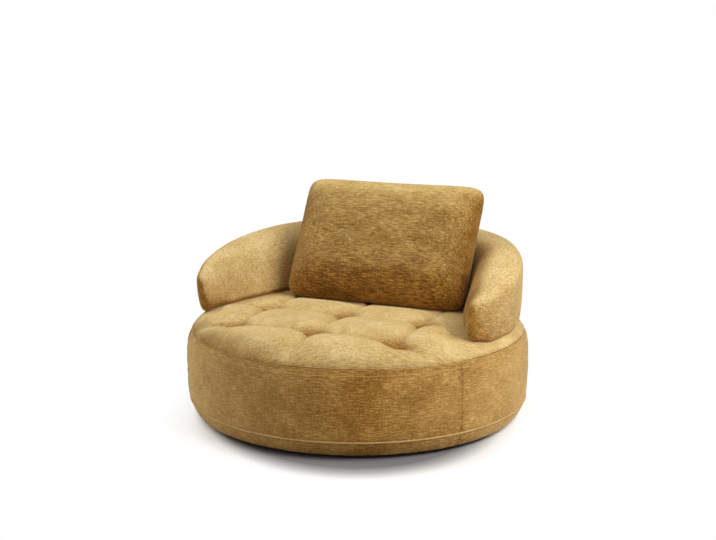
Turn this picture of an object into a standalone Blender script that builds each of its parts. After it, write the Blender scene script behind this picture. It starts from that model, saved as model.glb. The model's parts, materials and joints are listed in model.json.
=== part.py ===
"""Round swivel armchair: a low upholstered drum with a blind tufted seat, a padded crescent back that
runs round into two arms, and a loose back pillow. The drum turns on a ball bearing plate over a
small round floor board that stays hidden under it.

Units are metres. +Z is up, the chair faces -Y, and the origin is on the floor, on the swivel axis.
"""

import math

import bmesh
import bpy
from mathutils import Matrix, Vector

# Driving sizes of the drum
DRUM_RADIUS = 0.650
SEAT_HEIGHT = 0.390
WIDEST_HEIGHT = 0.200
FLOOR_CLEARANCE = 0.014
HEM_HEIGHT = 0.067
SHOULDER_DROP = 0.072
SHOULDER_WIDTH = 0.350
SHOULDER_SQUARENESS = 3.7
BOTTOM_TUCK = 0.032
BOTTOM_SQUARENESS = 5.25
COVER_THICKNESS = 0.004
PIPING_RADIUS = 0.0035
SIDE_PADDING = 0.050

# Floor board, its glides and the swivel bearing
FLOOR_BOARD_THICKNESS = 0.015
FLOOR_BOARD_CLEARANCE = 0.090
GLIDE_COUNT = 6
GLIDE_RADIUS = 0.020
GLIDE_HEIGHT = 0.005
GLIDE_INSET = 0.050
HUB_CLEARANCE = 0.011
PLATE_WIDTH = 0.305
PLATE_THICKNESS = 0.0025
PIVOT_NECK_RADIUS = 0.030
PIVOT_WALL = 0.004
PIVOT_FLANGE = 0.009
PIVOT_FLANGE_THICKNESS = 0.002
BALL_COUNT = 8
BALL_RADIUS = 0.004
BALL_CIRCLE = 0.115
CAGE_WIDTH = 0.016
CAGE_THICKNESS = 0.002
SCREW_INSET = 0.018
SCREW_RADIUS = 0.0025
SCREW_HEAD_RADIUS = 0.0055
SCREW_HEAD_HEIGHT = 0.0022
SCREW_LENGTH = 0.012

# Seat frame
BOARD_THICKNESS = 0.018
SKIRT_RING_WIDTH = 0.090
RIB_SETBACK = 0.004
RIB_TURN = 45.0
HOOP_THICKNESS = 0.003
DUST_COVER_THICKNESS = 0.0008
DUST_COVER_MARGIN = 0.010
HEM_TURN_UNDER = 0.045
SEAT_PAD_THICKNESS = 0.045
SEAT_FOAM_THICKNESS = 0.039
SEAT_FOAM_SETBACK = 0.002

# Tufting of the seat: a grid of blind tufts joined by creases
TUFT_COLUMNS = 3
TUFT_ROWS = 3
TUFT_PITCH_X = 0.310
TUFT_PITCH_Y = 0.260
TUFT_GRID_X = 0.020
TUFT_FRONT_SETBACK = 0.230
CROWN_RISE = 0.018
CREASE_SINK = 0.010
CREASE_WIDTH = 0.038
TUFT_SINK = 0.014
TUFT_WIDTH = 0.048
TUFT_FADE_WIDTH = 0.135
TUFT_FADE_EDGE = 0.015
TUFT_BACK_MARGIN = 0.060
TUFT_BACK_FADE = 0.050
TUFT_ARM_MARGIN = 11.0
TUFT_ARM_FADE = 8.0
CROWN_PILLOW_SETBACK = 0.025
CROWN_PILLOW_FADE = 0.060
TIE_RADIUS = 0.0020
TIE_DISC_RADIUS = 0.012
TIE_DISC_THICKNESS = 0.002
TIE_DISC_CLEARANCE = 0.002

# Loose back pillow
PILLOW_WIDTH = 0.746
PILLOW_HEIGHT = 0.503
PILLOW_THICKNESS = 0.200
PILLOW_LEAN = 29.0
PILLOW_X = 0.032
PILLOW_Y = 0.059
PILLOW_PULL_IN = 0.015
PILLOW_CORNER_PULL = 0.032
PILLOW_SQUARENESS = 4.0
PILLOW_COVER_THICKNESS = 0.004
ZIP_LENGTH = 0.450
ZIP_WIDTH = 0.012
ZIP_RISE = 0.075

# Crescent back and arms: angles are measured round the axis from the front, rises from the seat
ARM_TIP_ANGLE = 62.0
BACK_SETBACK = 0.030
BACK_FOOT_INSET = 0.005
BACK_FOOT_SHARE = 0.625
BACK_TOP_FLARE = 0.0175
CREST_POWER = 2.5
BACK_RISE = 0.265
ARM_TIP_RISE = 0.126
BACK_WIDEST_RISE = 0.097
BACK_ROOT_DEPTH = 0.150
ARM_TIP_DEPTH = 0.0645
ARM_FLARE_ANGLE = 122.0
ARM_FLARE_POWER = 3.6
BACK_SLANT = 0.120
PILLOW_BED_START = 112.0
PILLOW_BED_SPAN = 60.0
PILLOW_CORNER_TUCK = 0.055
PILLOW_LEAN_CLEARANCE = 0.002
TIP_SETBACK = 0.004
TIP_ROUNDING = 0.160
TIP_LEAN = 0.50
TIP_SHARPNESS = 0.8
BACK_SQUARENESS = 3.0
BACK_FRAME_DEPTH = 0.105
BACK_FRAME_THICKNESS = 0.015
BACK_FRAME_ANGLE = 96.0
BACK_FRAME_FOOT = 0.025
BACK_FRAME_TOP = 0.175
TENON_COUNT = 5
TENON_FIRST_ANGLE = 108.0
TENON_WIDTH = 0.050
TENON_SHOULDER = 0.0015
TENON_OVERLAP = 0.040

# Clearances between pieces that touch
GAP = 0.0003
SOFT_GAP = 0.0006
BACK_FOAM_GAP = 0.0016
HOLE_CLEARANCE = 0.0004

# Facets
RING_STEPS = 48
HUB_STEPS = 20
HOLE_SIDES = 8
SEAT_STEPS = 48
SEAT_RING_PITCH = 0.050
SHOULDER_RINGS = 4
SIDE_RINGS = 5
HEM_RINGS = 3
PIPING_SIDES = 5
ARC_SECTIONS = 11
TIP_SECTIONS = 7
BACK_POINTS = 12
FRAME_STEPS = 24
PILLOW_COLUMNS = 14
PILLOW_ROWS = 10
WELD = 0.00001

# Radii that follow
FRAME_RADIUS = DRUM_RADIUS - SIDE_PADDING
SKIRT_RING_INNER = FRAME_RADIUS - SKIRT_RING_WIDTH
FLOOR_BOARD_RADIUS = SKIRT_RING_INNER - FLOOR_BOARD_CLEARANCE
GLIDE_CIRCLE = FLOOR_BOARD_RADIUS - GLIDE_INSET
HUB_HOLE_RADIUS = PIVOT_NECK_RADIUS + PIVOT_FLANGE + HUB_CLEARANCE
SCREW_CIRCLE = (PLATE_WIDTH / 2 - SCREW_INSET) * math.sqrt(2)
SEAT_FOAM_RADIUS = FRAME_RADIUS - SEAT_FOAM_SETBACK
BACK_OUTER_RADIUS = DRUM_RADIUS - BACK_SETBACK
BACK_INNER_RADIUS = math.hypot(PILLOW_WIDTH / 2 + abs(PILLOW_X), PILLOW_Y) - PILLOW_CORNER_TUCK
ARM_TIP_INNER_RADIUS = BACK_OUTER_RADIUS - ARM_TIP_DEPTH
TIP_CENTRE_RADIUS = BACK_OUTER_RADIUS - TIP_SETBACK
BACK_FRAME_RADIUS = BACK_OUTER_RADIUS - BACK_FRAME_DEPTH
TENON_MIDDLE_RADIUS = BACK_FRAME_RADIUS - BACK_FRAME_THICKNESS / 2
TUFT_GRID_FRONT = DRUM_RADIUS - TUFT_FRONT_SETBACK

# Heights that follow from the stack of boards and plates
FLOOR_BOARD_BASE = GLIDE_HEIGHT + GAP
FLOOR_BOARD_TOP = FLOOR_BOARD_BASE + FLOOR_BOARD_THICKNESS
LOWER_PLATE_BASE = FLOOR_BOARD_TOP + GAP
LOWER_PLATE_TOP = LOWER_PLATE_BASE + PLATE_THICKNESS
BALL_HEIGHT = LOWER_PLATE_TOP + GAP + BALL_RADIUS
UPPER_PLATE_BASE = BALL_HEIGHT + BALL_RADIUS + GAP
UPPER_PLATE_TOP = UPPER_PLATE_BASE + PLATE_THICKNESS
BASE_BOARD_BASE = UPPER_PLATE_TOP + GAP
BASE_BOARD_TOP = BASE_BOARD_BASE + BOARD_THICKNESS
SKIRT_RING_TOP = BASE_BOARD_BASE - GAP
SKIRT_RING_BASE = FLOOR_CLEARANCE + COVER_THICKNESS + GAP
TOP_SEAM_HEIGHT = SEAT_HEIGHT - SHOULDER_DROP
SIDE_COVER_TOP = TOP_SEAM_HEIGHT - GAP
SEAT_FOAM_TOP = SEAT_HEIGHT - SEAT_PAD_THICKNESS
SEAT_FOAM_BASE = SEAT_FOAM_TOP - SEAT_FOAM_THICKNESS
SEAT_PAD_BASE = SEAT_FOAM_TOP + GAP
DECK_TOP = SEAT_FOAM_BASE - GAP
DECK_BASE = DECK_TOP - BOARD_THICKNESS
TIE_DISC_BASE = DECK_BASE - GAP - TIE_DISC_THICKNESS
RIB_BASE = BASE_BOARD_TOP + GAP
RIB_TOP = DECK_BASE - GAP
RIB_MIDDLE = (RIB_BASE + RIB_TOP) / 2
PILLOW_REST = SEAT_HEIGHT + SOFT_GAP
BACK_CREST = SEAT_HEIGHT + BACK_RISE
ARM_TIP_CREST = SEAT_HEIGHT + ARM_TIP_RISE
BACK_WIDEST = SEAT_HEIGHT + BACK_WIDEST_RISE
BACK_ROOT = SEAT_HEIGHT - BACK_ROOT_DEPTH
BACK_FRAME_BASE = SEAT_HEIGHT + BACK_FRAME_FOOT
BACK_FRAME_CREST = SEAT_HEIGHT + BACK_FRAME_TOP

parts = bpy.data.collections.new("round_swivel_armchair")
cutters = bpy.data.collections.new("cutters")


# Scene helpers


def clear_scene():
    """Removes what a new file holds, and adds the two collections."""
    for old in list(bpy.data.objects):
        bpy.data.objects.remove(old, do_unlink=True)
    bpy.context.scene.collection.children.link(parts)
    bpy.context.scene.collection.children.link(cutters)


def srgb(hex_code):
    """Linear colour of an sRGB hex code."""
    channels = [int(hex_code[start : start + 2], 16) / 255 for start in (0, 2, 4)]
    return [c / 12.92 if c <= 0.04045 else ((c + 0.055) / 1.055) ** 2.4 for c in channels] + [1.0]


def material(name, hex_code, roughness, metallic=0.0):
    """A plain Principled material."""
    made = bpy.data.materials.new(name)
    made.use_nodes = True
    shader = made.node_tree.nodes["Principled BSDF"]
    shader.inputs["Base Color"].default_value = srgb(hex_code)
    shader.inputs["Roughness"].default_value = roughness
    shader.inputs["Metallic"].default_value = metallic
    made.diffuse_color = srgb(hex_code)
    return made


def new_mesh(name, bm, finish=None):
    """Turns a bmesh into a mesh, shaded smooth where it is round."""
    mesh = bpy.data.meshes.new(name)
    bm.to_mesh(mesh)
    bm.free()
    if finish:
        mesh.materials.append(finish)
    mesh.shade_smooth()
    mesh.set_sharp_from_angle(angle=math.radians(40))
    return mesh


def place_mesh(name, mesh, parent=None, place=None):
    """A named piece of the chair with a given mesh, at a place."""
    made = bpy.data.objects.new(name, mesh)
    parts.objects.link(made)
    made.parent = parent
    if place:
        made.matrix_local = place
    return made


def add_piece(name, bm, finish, parent=None, place=None):
    """A named piece of the chair made from a bmesh."""
    return place_mesh(name, new_mesh(name, bm, finish), parent, place)


def add_copies(name, bm, finish, places, parent=None):
    """One numbered piece at each place, all sharing a mesh."""
    mesh = new_mesh(name, bm, finish)
    return [place_mesh(f"{name}_{number}", mesh, parent, place) for number, place in enumerate(places, 1)]


def add_cutter(name, bm, place=None):
    """A body that cuts or joins pieces, and is no piece of the chair."""
    made = bpy.data.objects.new(name, new_mesh(name, bm))
    cutters.objects.link(made)
    made.hide_render = True
    made.display_type = "WIRE"
    if place:
        made.matrix_local = place
    return made


def add_axis(name, place, parent=None):
    """An empty on the axis of a moving body."""
    made = bpy.data.objects.new(name, None)
    made.matrix_local = place
    made.parent = parent
    parts.objects.link(made)
    return made


def boolean(target, tool, operation="DIFFERENCE"):
    """Cuts target with tool, joins it on, or keeps what they share."""
    step = target.modifiers.new(operation.lower() + "_" + tool.name, "BOOLEAN")
    step.object = tool
    step.operation = operation
    step.solver = "EXACT"


def outline(points, closed=True):
    """A bmesh of edges through (radius, height) points in the XZ plane."""
    bm = bmesh.new()
    verts = [bm.verts.new((radius, 0.0, height)) for radius, height in points]
    pairs = list(zip(verts, verts[1:]))
    if closed:
        pairs.append((verts[-1], verts[0]))
    for pair in pairs:
        bm.edges.new(pair)
    return bm


def turn(made, steps):
    """Turns an object's outline about its Z axis."""
    screw = made.modifiers.new("turn", "SCREW")
    screw.axis = "Z"
    screw.angle = math.tau
    screw.steps = steps
    screw.render_steps = steps
    screw.use_merge_vertices = True
    screw.merge_threshold = WELD
    screw.use_smooth_shade = True
    return made


def spin(bm, steps, degrees=360.0):
    """Turns a bmesh's outline about the Z axis, and turns its faces outwards."""
    bmesh.ops.spin(
        bm,
        geom=bm.verts[:] + bm.edges[:],
        cent=(0, 0, 0),
        axis=(0, 0, 1),
        angle=math.radians(degrees),
        steps=steps,
    )
    bmesh.ops.remove_doubles(bm, verts=bm.verts, dist=WELD)
    bmesh.ops.recalc_face_normals(bm, faces=bm.faces)
    return bm


def flat_ring(outer, inner, base, top):
    """Outline of a flat ring, down its outer side and up its inner one."""
    return [(outer, top), (outer, base), (inner, base), (inner, top)]


def add_turned(name, points, finish, parent=None, steps=RING_STEPS):
    """A piece turned from a closed outline."""
    return turn(add_piece(name, outline(points), finish, parent), steps)


def box(size, place=None, bm=None):
    """A bmesh with a box centred at place."""
    bm = bm or bmesh.new()
    scaled = Matrix.Diagonal((*size, 1.0))
    bmesh.ops.create_cube(bm, size=1.0, matrix=place @ scaled if place else scaled)
    return bm


def cylinder(radius, base, top, sides=12, place=None, bm=None):
    """A bmesh with a cylinder along the local Z of place, from base to top."""
    bm = bm or bmesh.new()
    middle = Matrix.Translation((0, 0, (base + top) / 2))
    bmesh.ops.create_cone(
        bm,
        cap_ends=True,
        segments=sides,
        radius1=radius,
        radius2=radius,
        depth=top - base,
        matrix=place @ middle if place else middle,
    )
    return bm


def around(angle, radius, height=0.0):
    """A place at an angle in degrees from the front, with its local X pointing outwards."""
    turned = Matrix.Rotation(math.radians(angle - 90.0), 4, "Z")
    return turned @ Matrix.Translation((radius, 0, height))


def evenly(count):
    """Angles from the front of count places spaced evenly round the chair, clear of its middle line."""
    return [360.0 * (index + 0.5) / count for index in range(count)]


def spread(first, last, count):
    """count + 1 values from first to last."""
    return [first + (last - first) * index / count for index in range(count + 1)]


def smooth(share):
    """Smooth step from 0 to 1."""
    share = min(1.0, max(0.0, share))
    return share * share * (3.0 - 2.0 * share)


# Shape of the drum


def drum_radius(height):
    """Outer radius of the drum at a height."""
    if height < WIDEST_HEIGHT:
        drop = (WIDEST_HEIGHT - height) / (WIDEST_HEIGHT - FLOOR_CLEARANCE)
        return DRUM_RADIUS - BOTTOM_TUCK * drop**BOTTOM_SQUARENESS
    rise = min(1.0, (height - WIDEST_HEIGHT) / (SEAT_HEIGHT - WIDEST_HEIGHT))
    across = (1.0 - rise**SHOULDER_SQUARENESS) ** (1.0 / SHOULDER_SQUARENESS)
    return DRUM_RADIUS - SHOULDER_WIDTH * (1.0 - across)


def shoulder_height(radius):
    """Height of the seat's surface without its tufts, at a radius."""
    across = min(1.0, max(0.0, 1.0 - (DRUM_RADIUS - radius) / SHOULDER_WIDTH))
    rise = (1.0 - across**SHOULDER_SQUARENESS) ** (1.0 / SHOULDER_SQUARENESS)
    return WIDEST_HEIGHT + (SEAT_HEIGHT - WIDEST_HEIGHT) * rise


def seat_surface():
    """Points of (radius, height) over the seat without its tufts, from the axis to the top seam."""
    flat_edge = DRUM_RADIUS - SHOULDER_WIDTH / 2
    rings = max(2, round(flat_edge / SEAT_RING_PITCH))
    radii = spread(0.0, flat_edge, rings)
    seam = drum_radius(TOP_SEAM_HEIGHT)
    for index in range(1, SHOULDER_RINGS):
        radii.append(flat_edge + (seam - flat_edge) * math.sin(math.pi / 2 * index / SHOULDER_RINGS))
    return [(radius, shoulder_height(radius)) for radius in radii] + [(seam, TOP_SEAM_HEIGHT)]


# Tufting


def tuft_points():
    """Places of the tufts, by row from the front."""
    half = (TUFT_COLUMNS - 1) / 2
    return [
        [
            (TUFT_GRID_X + (column - half) * TUFT_PITCH_X, -TUFT_GRID_FRONT + row * TUFT_PITCH_Y)
            for column in range(TUFT_COLUMNS)
        ]
        for row in range(TUFT_ROWS)
    ]


def crease_lines():
    """Straight creases between neighbouring tufts, and from the outer tufts to the seat's edge."""
    rows = tuft_points()
    lines = []
    for row in rows:
        lines += list(zip(row, row[1:]))
        lines.append((row[0], (-DRUM_RADIUS, row[0][1])))
        lines.append((row[-1], (DRUM_RADIUS, row[-1][1])))
    for near, far in zip(rows, rows[1:]):
        lines += list(zip(near, far))
    front_middle = rows[0][TUFT_COLUMNS // 2]
    lines.append((front_middle, (front_middle[0], -DRUM_RADIUS)))
    return lines


def distance_to_line(x, y, line):
    """Distance in plan from a point to a straight stretch."""
    (ax, ay), (bx, by) = line
    along = Vector((bx - ax, by - ay))
    share = ((x - ax) * along.x + (y - ay) * along.y) / along.length_squared
    share = min(1.0, max(0.0, share))
    return math.hypot(x - ax - share * along.x, y - ay - share * along.y)


def tuft_relief(x, y):
    """Height of the tufted surface over the plain one. It is flat under the back, and no higher than
    the plain surface under the pillow."""
    puff = 1.0
    for line in crease_lines():
        puff *= 1.0 - math.exp(-distance_to_line(x, y, line) / CREASE_WIDTH)
    relief = (CROWN_RISE + CREASE_SINK) * puff - CREASE_SINK
    for row in tuft_points():
        for tuft_x, tuft_y in row:
            apart = ((x - tuft_x) ** 2 + (y - tuft_y) ** 2) / TUFT_WIDTH**2
            relief -= TUFT_SINK * math.exp(-apart)
    radius = math.hypot(x, y)
    relief *= smooth((DRUM_RADIUS - TUFT_FADE_EDGE - radius) / TUFT_FADE_WIDTH)
    angle = math.degrees(math.atan2(abs(x), -y))
    near_back = smooth((radius - back_inner_radius(angle) + TUFT_BACK_MARGIN) / TUFT_BACK_FADE)
    beside_arm = smooth((angle - ARM_TIP_ANGLE + TUFT_ARM_MARGIN) / TUFT_ARM_FADE)
    relief *= 1.0 - near_back * beside_arm
    if relief > 0.0:
        relief *= smooth((PILLOW_Y - CROWN_PILLOW_SETBACK - y) / CROWN_PILLOW_FADE)
    return relief


# Shape of the pillow


def pillow_place():
    """Where the pillow's lower seam is, and how it leans."""
    lean = Matrix.Rotation(-math.radians(PILLOW_LEAN), 4, "X")
    return Matrix.Translation((PILLOW_X, PILLOW_Y, PILLOW_REST)) @ lean


def pillow_swell(across, up):
    """Share of the pillow's half thickness at a point from -1 to 1 across and up."""
    power = PILLOW_SQUARENESS
    return math.sqrt(max(0.0, (1.0 - abs(across) ** power) * (1.0 - abs(up) ** power)))


def pillow_back_reach(rise):
    """How far back the pillow's middle reaches, at a rise over the seat."""
    lean = math.radians(PILLOW_LEAN)
    up = 2 * rise / math.cos(lean) / PILLOW_HEIGHT - 1.0
    half_depth = PILLOW_THICKNESS / 2 * pillow_swell(0, up)
    return PILLOW_Y + rise * math.tan(lean) + half_depth / math.cos(lean)


# Shape of the crescent back


def back_share(height):
    """Share of the back's height, from its root under the seat's surface to its crest."""
    return max(0.0, (height - BACK_ROOT) / (BACK_CREST - BACK_ROOT))


def back_inner_radius(angle):
    """Radius of the back's inner face at its root, at an angle from the front. It opens out towards
    the arm tips, and comes forward in the middle to carry the pillow."""
    share = min(1.0, max(0.0, (ARM_FLARE_ANGLE - angle) / (ARM_FLARE_ANGLE - ARM_TIP_ANGLE)))
    radius = BACK_INNER_RADIUS + (ARM_TIP_INNER_RADIUS - BACK_INNER_RADIUS) * share**ARM_FLARE_POWER
    carrying_rise = (BACK_WIDEST_RISE + BACK_RISE) / 2
    carrying_radius = pillow_back_reach(carrying_rise) + PILLOW_LEAN_CLEARANCE
    middle = carrying_radius - BACK_SLANT * back_share(SEAT_HEIGHT + carrying_rise)
    return radius - (BACK_INNER_RADIUS - middle) * smooth((angle - PILLOW_BED_START) / PILLOW_BED_SPAN)


def back_crest(angle):
    """Height of the back's crest at an angle from the front."""
    share = (angle - ARM_TIP_ANGLE) / (180.0 - ARM_TIP_ANGLE)
    return BACK_CREST - (BACK_CREST - ARM_TIP_CREST) * (1.0 - share) ** CREST_POWER


def back_section(angle, full, inset):
    """One cross-section of the back, as points of (radius, height). Its inner face leans outwards.
    full is 1 along the arms and the back, and falls to 0 at an arm's tip, where the section closes on
    a line that leans outwards too."""
    top = BACK_WIDEST + (back_crest(angle) - inset - BACK_WIDEST) * full
    low = BACK_WIDEST - (BACK_WIDEST - BACK_ROOT - inset) * full
    power = 2.0 / BACK_SQUARENESS
    points = []
    for index in range(BACK_POINTS):
        turned = math.tau * index / BACK_POINTS
        across = math.copysign(abs(math.cos(turned)) ** power, math.cos(turned))
        up = math.copysign(abs(math.sin(turned)) ** power, math.sin(turned))
        height = BACK_WIDEST + up * (top - BACK_WIDEST if up > 0 else BACK_WIDEST - low)
        share = back_share(height)
        inner = back_inner_radius(angle) + BACK_SLANT * share + inset
        outer = BACK_OUTER_RADIUS - BACK_FOOT_INSET * (1.0 - smooth(share / BACK_FOOT_SHARE)) - inset
        outer += BACK_TOP_FLARE * smooth((share - BACK_FOOT_SHARE) / (1.0 - BACK_FOOT_SHARE))
        centre = TIP_CENTRE_RADIUS + TIP_LEAN * (height - BACK_WIDEST)
        inner = centre + (inner - centre) * full
        outer = centre + (outer - centre) * full
        points.append(((inner + outer) / 2 + across * (outer - inner) / 2, height))
    return points


def back_stations(trimmed):
    """Angles and fullness of the cross-sections from one arm's tip to the middle of the back, without
    the first few at the tip."""
    rounding = math.degrees(TIP_ROUNDING / BACK_OUTER_RADIUS)
    turns = [math.pi / 2 * (index + 1) / TIP_SECTIONS for index in range(TIP_SECTIONS)]
    stations = [
        (ARM_TIP_ANGLE + rounding * (1.0 - math.cos(turned)), math.sin(turned) ** TIP_SHARPNESS)
        for turned in turns
    ]
    middle = spread(stations[-1][0], 180.0, ARC_SECTIONS)[1:]
    return stations[trimmed:] + [(angle, 1.0) for angle in middle]


def back_loft(inset, trimmed):
    """A closed body lofted through the cross-sections, from one arm's tip round to the other. What goes
    inside another one is trimmed more, and shares its stations, so that their facets stay apart."""
    near_side = back_stations(trimmed)
    far_side = [(360.0 - angle, full) for angle, full in reversed(near_side[:-1])]
    bm = bmesh.new()
    loops = []
    for angle, full in near_side + far_side:
        place = around(angle, 0.0)
        section = back_section(min(angle, 360.0 - angle), full, inset)
        loops.append([bm.verts.new(place @ Vector((radius, 0, height))) for radius, height in section])
    for first, second in zip(loops, loops[1:]):
        for index in range(BACK_POINTS):
            after = (index + 1) % BACK_POINTS
            bm.faces.new((first[index], first[after], second[after], second[index]))
    tips = [bm.faces.new(loops[0]), bm.faces.new(loops[-1])]
    bmesh.ops.poke(bm, faces=tips)
    bmesh.ops.recalc_face_normals(bm, faces=bm.faces)
    bmesh.ops.triangulate(bm, faces=bm.faces, quad_method="FIXED")
    return bm


# Floor base


def build_floor_base(finishes):
    """The hidden round floor board on glides, with the lower half of the swivel bearing."""
    glide = cylinder(GLIDE_RADIUS, 0.0, GLIDE_HEIGHT)
    glide_places = [around(angle, GLIDE_CIRCLE) for angle in evenly(GLIDE_COUNT)]
    add_copies("floor_glide", glide, finishes["felt"], glide_places)

    board_outline = flat_ring(FLOOR_BOARD_RADIUS, HUB_HOLE_RADIUS, FLOOR_BOARD_BASE, FLOOR_BOARD_TOP)
    board = add_turned("floor_board", board_outline, finishes["plywood"])
    plate = add_swivel_plate("swivel_lower_plate", LOWER_PLATE_BASE, finishes["zinc"])
    face = Matrix.Translation((0, 0, LOWER_PLATE_TOP))
    add_plate_screws("lower_plate_screw", face, (plate, board), finishes["screw"])

    flange = PIVOT_NECK_RADIUS + PIVOT_FLANGE
    bore = PIVOT_NECK_RADIUS - PIVOT_WALL
    low = LOWER_PLATE_BASE - GAP
    high = UPPER_PLATE_TOP + GAP
    pivot_outline = [
        (flange, high + PIVOT_FLANGE_THICKNESS),
        (flange, high),
        (PIVOT_NECK_RADIUS, high),
        (PIVOT_NECK_RADIUS, low),
        (flange, low),
        (flange, low - PIVOT_FLANGE_THICKNESS),
        (bore, low - PIVOT_FLANGE_THICKNESS),
        (bore, high + PIVOT_FLANGE_THICKNESS),
    ]
    add_turned("swivel_pivot", pivot_outline, finishes["zinc"], steps=HUB_STEPS)


def add_swivel_plate(name, base, finish, parent=None):
    """A square pressed steel plate with a round hole for the pivot."""
    middle = Matrix.Translation((0, 0, base + PLATE_THICKNESS / 2))
    plate = add_piece(name, box((PLATE_WIDTH, PLATE_WIDTH, PLATE_THICKNESS)), finish, parent, middle)
    hole = cylinder(PIVOT_NECK_RADIUS + HOLE_CLEARANCE, -PLATE_THICKNESS, PLATE_THICKNESS, HUB_STEPS)
    boolean(plate, add_cutter(name + "_hole", hole, middle))
    return plate


def add_plate_screws(name, face, pierced, finish, parent=None):
    """Four screws at the corners of a plate, in holes through the pierced pieces. face is the plate's
    face, with its local Z pointing to the screw heads."""
    profile = [
        (0, GAP + SCREW_HEAD_HEIGHT),
        (SCREW_HEAD_RADIUS, GAP + SCREW_HEAD_HEIGHT),
        (SCREW_HEAD_RADIUS, GAP),
        (SCREW_RADIUS, GAP),
        (SCREW_RADIUS, -SCREW_LENGTH),
        (0, -SCREW_LENGTH),
    ]
    places = [face @ around(angle, SCREW_CIRCLE) for angle in (45, 135, 225, 315)]
    screw = spin(outline(profile, closed=False), HOLE_SIDES)
    add_copies(name, screw, finish, places, parent)
    holes = bmesh.new()
    for place in places:
        hole_radius = SCREW_RADIUS + HOLE_CLEARANCE
        cylinder(hole_radius, -SCREW_LENGTH - GAP, SCREW_LENGTH, HOLE_SIDES, place, holes)
    holes = add_cutter(name + "_holes", holes)
    for piece in pierced:
        boolean(piece, holes)


def build_bearing(finishes, parent):
    """The caged balls that roll between the two plates."""
    ball = bmesh.new()
    bmesh.ops.create_icosphere(ball, subdivisions=2, radius=BALL_RADIUS)
    places = [around(angle, BALL_CIRCLE, BALL_HEIGHT) for angle in evenly(BALL_COUNT)]
    add_copies("bearing_ball", ball, finishes["chrome"], places, parent)
    cage_outline = flat_ring(
        BALL_CIRCLE + CAGE_WIDTH / 2,
        BALL_CIRCLE - CAGE_WIDTH / 2,
        BALL_HEIGHT - CAGE_THICKNESS / 2,
        BALL_HEIGHT + CAGE_THICKNESS / 2,
    )
    cage = add_turned("bearing_cage", cage_outline, finishes["nylon"], parent, HUB_STEPS)
    pockets = bmesh.new()
    for place in places:
        pocket_radius = BALL_RADIUS + HOLE_CLEARANCE
        cylinder(pocket_radius, -CAGE_THICKNESS, CAGE_THICKNESS, HOLE_SIDES, place, pockets)
    boolean(cage, add_cutter("cage_pockets", pockets))


# Seat frame


def build_seat_frame(finishes, parent):
    """The drum's frame: two boards held apart by cross-lapped ribs, inside a bent hoop. Returns the
    upper board, which is the deck under the seat."""
    plate = add_swivel_plate("swivel_upper_plate", UPPER_PLATE_BASE, finishes["zinc"], parent)
    base_outline = flat_ring(FRAME_RADIUS, HUB_HOLE_RADIUS, BASE_BOARD_BASE, BASE_BOARD_TOP)
    board = add_turned("base_board", base_outline, finishes["plywood"], parent)
    face = Matrix.Translation((0, 0, UPPER_PLATE_BASE)) @ Matrix.Rotation(math.pi, 4, "X")
    add_plate_screws("upper_plate_screw", face, (plate, board), finishes["screw"], parent)

    skirt_outline = flat_ring(FRAME_RADIUS, SKIRT_RING_INNER, SKIRT_RING_BASE, SKIRT_RING_TOP)
    add_turned("skirt_ring", skirt_outline, finishes["plywood"], parent)
    dust_outer = SKIRT_RING_INNER - GAP
    dust_inner = PLATE_WIDTH / 2 * math.sqrt(2) + DUST_COVER_MARGIN
    dust_outline = flat_ring(dust_outer, dust_inner, SKIRT_RING_TOP - DUST_COVER_THICKNESS, SKIRT_RING_TOP)
    add_turned("dust_cover", dust_outline, finishes["lining"], parent)

    across = RIB_TURN + 90.0
    disc_notches = add_cutter("tie_disc_notches", disc_notch_bodies())
    for rib in (
        add_rib("rib_notched_above", RIB_TURN, RIB_MIDDLE, RIB_TOP, finishes["plywood"], parent),
        add_rib("rib_notched_below", across, RIB_BASE, RIB_MIDDLE, finishes["plywood"], parent),
    ):
        boolean(rib, disc_notches)

    deck = cylinder(FRAME_RADIUS, -BOARD_THICKNESS / 2, BOARD_THICKNESS / 2, RING_STEPS)
    deck_place = Matrix.Translation((0, 0, (DECK_BASE + DECK_TOP) / 2))
    deck = add_piece("seat_deck", deck, finishes["plywood"], parent, deck_place)
    hoop_inner = FRAME_RADIUS + GAP
    hoop_outline = flat_ring(hoop_inner + HOOP_THICKNESS, hoop_inner, SKIRT_RING_BASE, DECK_TOP)
    add_turned("side_hoop", hoop_outline, finishes["hardboard"], parent)
    return deck


def add_rib(name, angle, notch_base, notch_top, finish, parent):
    """An upright board across the drum, with a notch at its middle for the other rib. Returns it."""
    size = (2 * (FRAME_RADIUS - RIB_SETBACK), BOARD_THICKNESS, RIB_TOP - RIB_BASE)
    place = around(angle, 0.0, RIB_MIDDLE)
    rib = add_piece(name, box(size), finish, parent, place)
    notch_width = BOARD_THICKNESS + 2 * GAP
    notch_height = notch_top - notch_base + 2 * GAP
    notch_place = around(angle, 0.0, (notch_base + notch_top) / 2)
    notch = box((notch_width, 2 * BOARD_THICKNESS, notch_height))
    boolean(rib, add_cutter(name + "_notch", notch, notch_place))
    return rib


def disc_notch_bodies():
    """Shallow bodies round the tuft ties' discs, which notch a rib's top edge where a disc is over it."""
    bodies = bmesh.new()
    radius = TIE_DISC_RADIUS + TIE_DISC_CLEARANCE
    for row in tuft_points():
        for x, y in row:
            place = Matrix.Translation((x, y, 0))
            cylinder(radius, TIE_DISC_BASE - SOFT_GAP, DECK_BASE, HOLE_SIDES, place, bodies)
    return bodies


# Drum upholstery


def side_heights():
    """Heights of the side cover's rings, from the top seam to the piping."""
    return spread(SIDE_COVER_TOP, HEM_HEIGHT + PIPING_RADIUS + GAP, SIDE_RINGS)


def hem_heights():
    """Heights of the hem band's rings, from the piping to its turned under edge."""
    return spread(HEM_HEIGHT - PIPING_RADIUS - GAP, FLOOR_CLEARANCE + COVER_THICKNESS, HEM_RINGS)


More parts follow.
